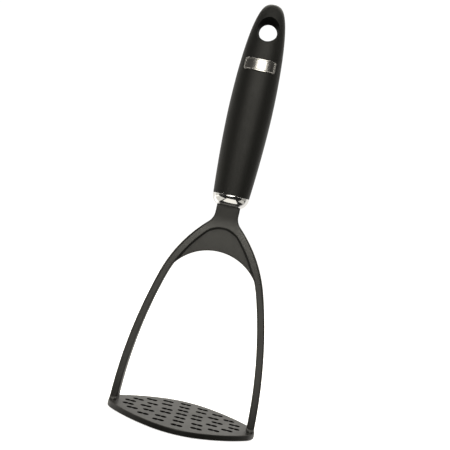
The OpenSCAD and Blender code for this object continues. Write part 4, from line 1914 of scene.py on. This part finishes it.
@dataclass
class Studio:
    """Pale floor and backdrop, soft lamps and the camera, with distances in metres."""

    # Camera.
    camera_distance: float = 0.490
    camera_height: float = 0.1363
    camera_side: float = 0.0003
    camera_yaw: float = 3.3
    camera_roll: float = 12.81
    lens: float = 57.48
    sensor: float = 36.0
    clip: tuple[float, float] = (0.01, 50.0)
    # Floor.
    floor_half: float = 20.0
    floor_drop: float = 0.0004
    floor_lit: tuple[float, ...] = (0.2, 0.2, 0.2, 1.0)
    floor_seen: tuple[float, ...] = (0.97, 0.97, 0.97, 1.0)
    floor_glow: float = 0.65
    # Room and backdrop.
    dim_side: float = 0.018
    backdrop: float = 0.96
    backdrop_edge: float = 0.35
    ceiling: float = 0.5
    ceiling_edge: float = 0.5
    room_tint: tuple[float, ...] = (1.0, 0.97, 0.91, 1.0)
    seen_white: float = 1.05
    lamps: tuple[SoftBox, ...] = (
        SoftBox("front_lamp", (0.03, -1.1, 0.55), (0.4, 0.7), 4.8),
        SoftBox("fill_lamp", (-0.12, -1.1, 0.1), (0.34, 0.2), 0.36),
        SoftBox("left_lamp", (-1.0, -0.15, 0.15), (0.9, 0.9), 1.9),
        SoftBox("right_lamp", (1.0, -0.3, 0.3), (0.8, 0.9), 0.8),
        SoftBox("haze_lamp", (-0.75, -0.9, 0.3), (0.6, 0.9), 0.1),
        SoftBox("low_lamp", (0.01, -0.155, 0.006), (0.14, 0.19), 0.09, aim=5.0),
        SoftBox("low_left_lamp", (-0.27, -0.03, 0.006), (0.42, 0.34), 0.34, aim=5.0),
        SoftBox("low_right_lamp", (0.31, -0.13, 0.006), (0.24, 0.28), 0.13, aim=5.0),
        SoftBox("top_lamp", (0.0, 0.35, 1.3), (1.4, 1.0), 20.0),
    )

    def camera(self) -> None:
        """Sets up the camera, level with the yoke and rolled so that the masher leans to the right."""
        yaw, roll = math.radians(self.camera_yaw), math.radians(self.camera_roll)
        level = Vector((math.cos(yaw), math.sin(yaw), 0.0))
        forward = Vector((-math.sin(yaw), math.cos(yaw), 0.0))
        up = Vector((0.0, 0.0, 1.0))
        across = level * math.cos(roll) + up * math.sin(roll)
        rise = up * math.cos(roll) - level * math.sin(roll)
        place = level * self.camera_side - forward * self.camera_distance + up * self.camera_height
        data = bpy.data.cameras.new("studio_camera")
        data.lens = self.lens
        data.sensor_width = self.sensor
        data.clip_start, data.clip_end = self.clip
        camera = add_object("studio_camera", data)
        turned = Matrix((across, rise, -forward)).transposed()
        camera.matrix_world = Matrix.Translation(place) @ turned.to_4x4()
        bpy.context.scene.camera = camera

    def floor(self) -> None:
        """Lays a wide pale floor under the masher, see-through from below and left out of reflections."""
        mesh = bpy.data.meshes.new("floor")
        corners = ((-1, -1), (1, -1), (1, 1), (-1, 1))
        places = [(x * self.floor_half, y * self.floor_half, -self.floor_drop) for x, y in corners]
        mesh.from_pydata(places, [], [(0, 1, 2, 3)])
        made, sheet = new_material("pale_floor")
        path = sheet.add("ShaderNodeLightPath").outputs
        seen = path["Is Camera Ray"]
        colour = sheet.mix("RGBA", seen, self.floor_lit, self.floor_seen)
        diffuse = sheet.add("ShaderNodeBsdfDiffuse", {"Color": colour})
        glow = sheet.add("ShaderNodeEmission", {"Strength": sheet.math("MULTIPLY", seen, self.floor_glow)})
        both = sheet.add("ShaderNodeAddShader", {0: diffuse.outputs[0], 1: glow.outputs[0]})
        clear = sheet.add("ShaderNodeBsdfTransparent")
        under = sheet.add("ShaderNodeNewGeometry").outputs["Backfacing"]
        through = sheet.math("MAXIMUM", path["Is Glossy Ray"], under)
        mixed = sheet.add("ShaderNodeMixShader", {0: through, 1: both.outputs[0], 2: clear.outputs[0]})
        sheet.add("ShaderNodeOutputMaterial", {"Surface": mixed.outputs[0]})
        mesh.materials.append(made)
        add_object("floor", mesh)

    def sky(self) -> None:
        """Surrounds the scene with a white backdrop behind the masher and a dim room in front of it."""
        scene = bpy.context.scene
        scene.view_settings.view_transform = "Standard"
        world = bpy.data.worlds.new("studio_sky")
        scene.world = world
        world.use_nodes = True
        sheet = NodeSheet(world.node_tree)
        way = sheet.add("ShaderNodeTexCoord").outputs["Generated"]
        axes = sheet.add("ShaderNodeSeparateXYZ", {0: way}).outputs
        behind = sheet.remap(axes["Y"], 0.0, self.backdrop_edge, self.dim_side, self.backdrop)
        above = sheet.remap(axes["Z"], self.ceiling_edge, 1.0, 0.0, self.ceiling)
        bright = sheet.math("MAXIMUM", behind, above)
        room = sheet.add("ShaderNodeBackground", {"Color": self.room_tint, "Strength": bright})
        white = (1.0, 1.0, 1.0, 1.0)
        plain = sheet.add("ShaderNodeBackground", {"Color": white, "Strength": self.seen_white})
        seen = sheet.add("ShaderNodeLightPath").outputs["Is Camera Ray"]
        mixed = sheet.add("ShaderNodeMixShader", {0: seen, 1: room.outputs[0], 2: plain.outputs[0]})
        sheet.add("ShaderNodeOutputWorld", {"Surface": mixed.outputs[0]})

    def build(self) -> None:
        """Sets up the whole studio."""
        self.camera()
        self.floor()
        self.sky()
        for lamp in self.lamps:
            lamp.hang()


def dress_solid(node: str, finish: Finish) -> None:
    """Gives a solid that stays in the scene its own material.

    Args:
        node: Name of the solid.
        finish: Its finish.
    """
    solid = frame["nodes"][node]
    solid.data.materials.clear()
    solid.data.materials.append(finish.material())
    LOG.info("%s: keeps the shape of its solid", node)


def main() -> None:
    """Builds every piece in order."""
    logging.basicConfig(level=logging.INFO, format="%(name)s: %(message)s")
    Studio().build()
    form = GripForm()
    yoke = Yoke()
    badge = Badge(form)
    MashPlate().build(yoke, NYLON, SLOT_SHADE_NYLON)
    yoke.build(YOKE_NYLON, GROOVE_SHADE_NYLON)
    Collar(yoke, form).build(BRIGHT_PLATING)
    Grip(form).build(badge, SOFT_GRIP, MOUTH_SHADE_SKIN)
    badge.build(BADGE_PLATING)
    for node, finish in (("handle_core", CORE_PLASTIC), ("tang_pin", PIN_STEEL), ("badge_pad", ADHESIVE)):
        dress_solid(node, finish)


if __name__ == "__main__":
    main()
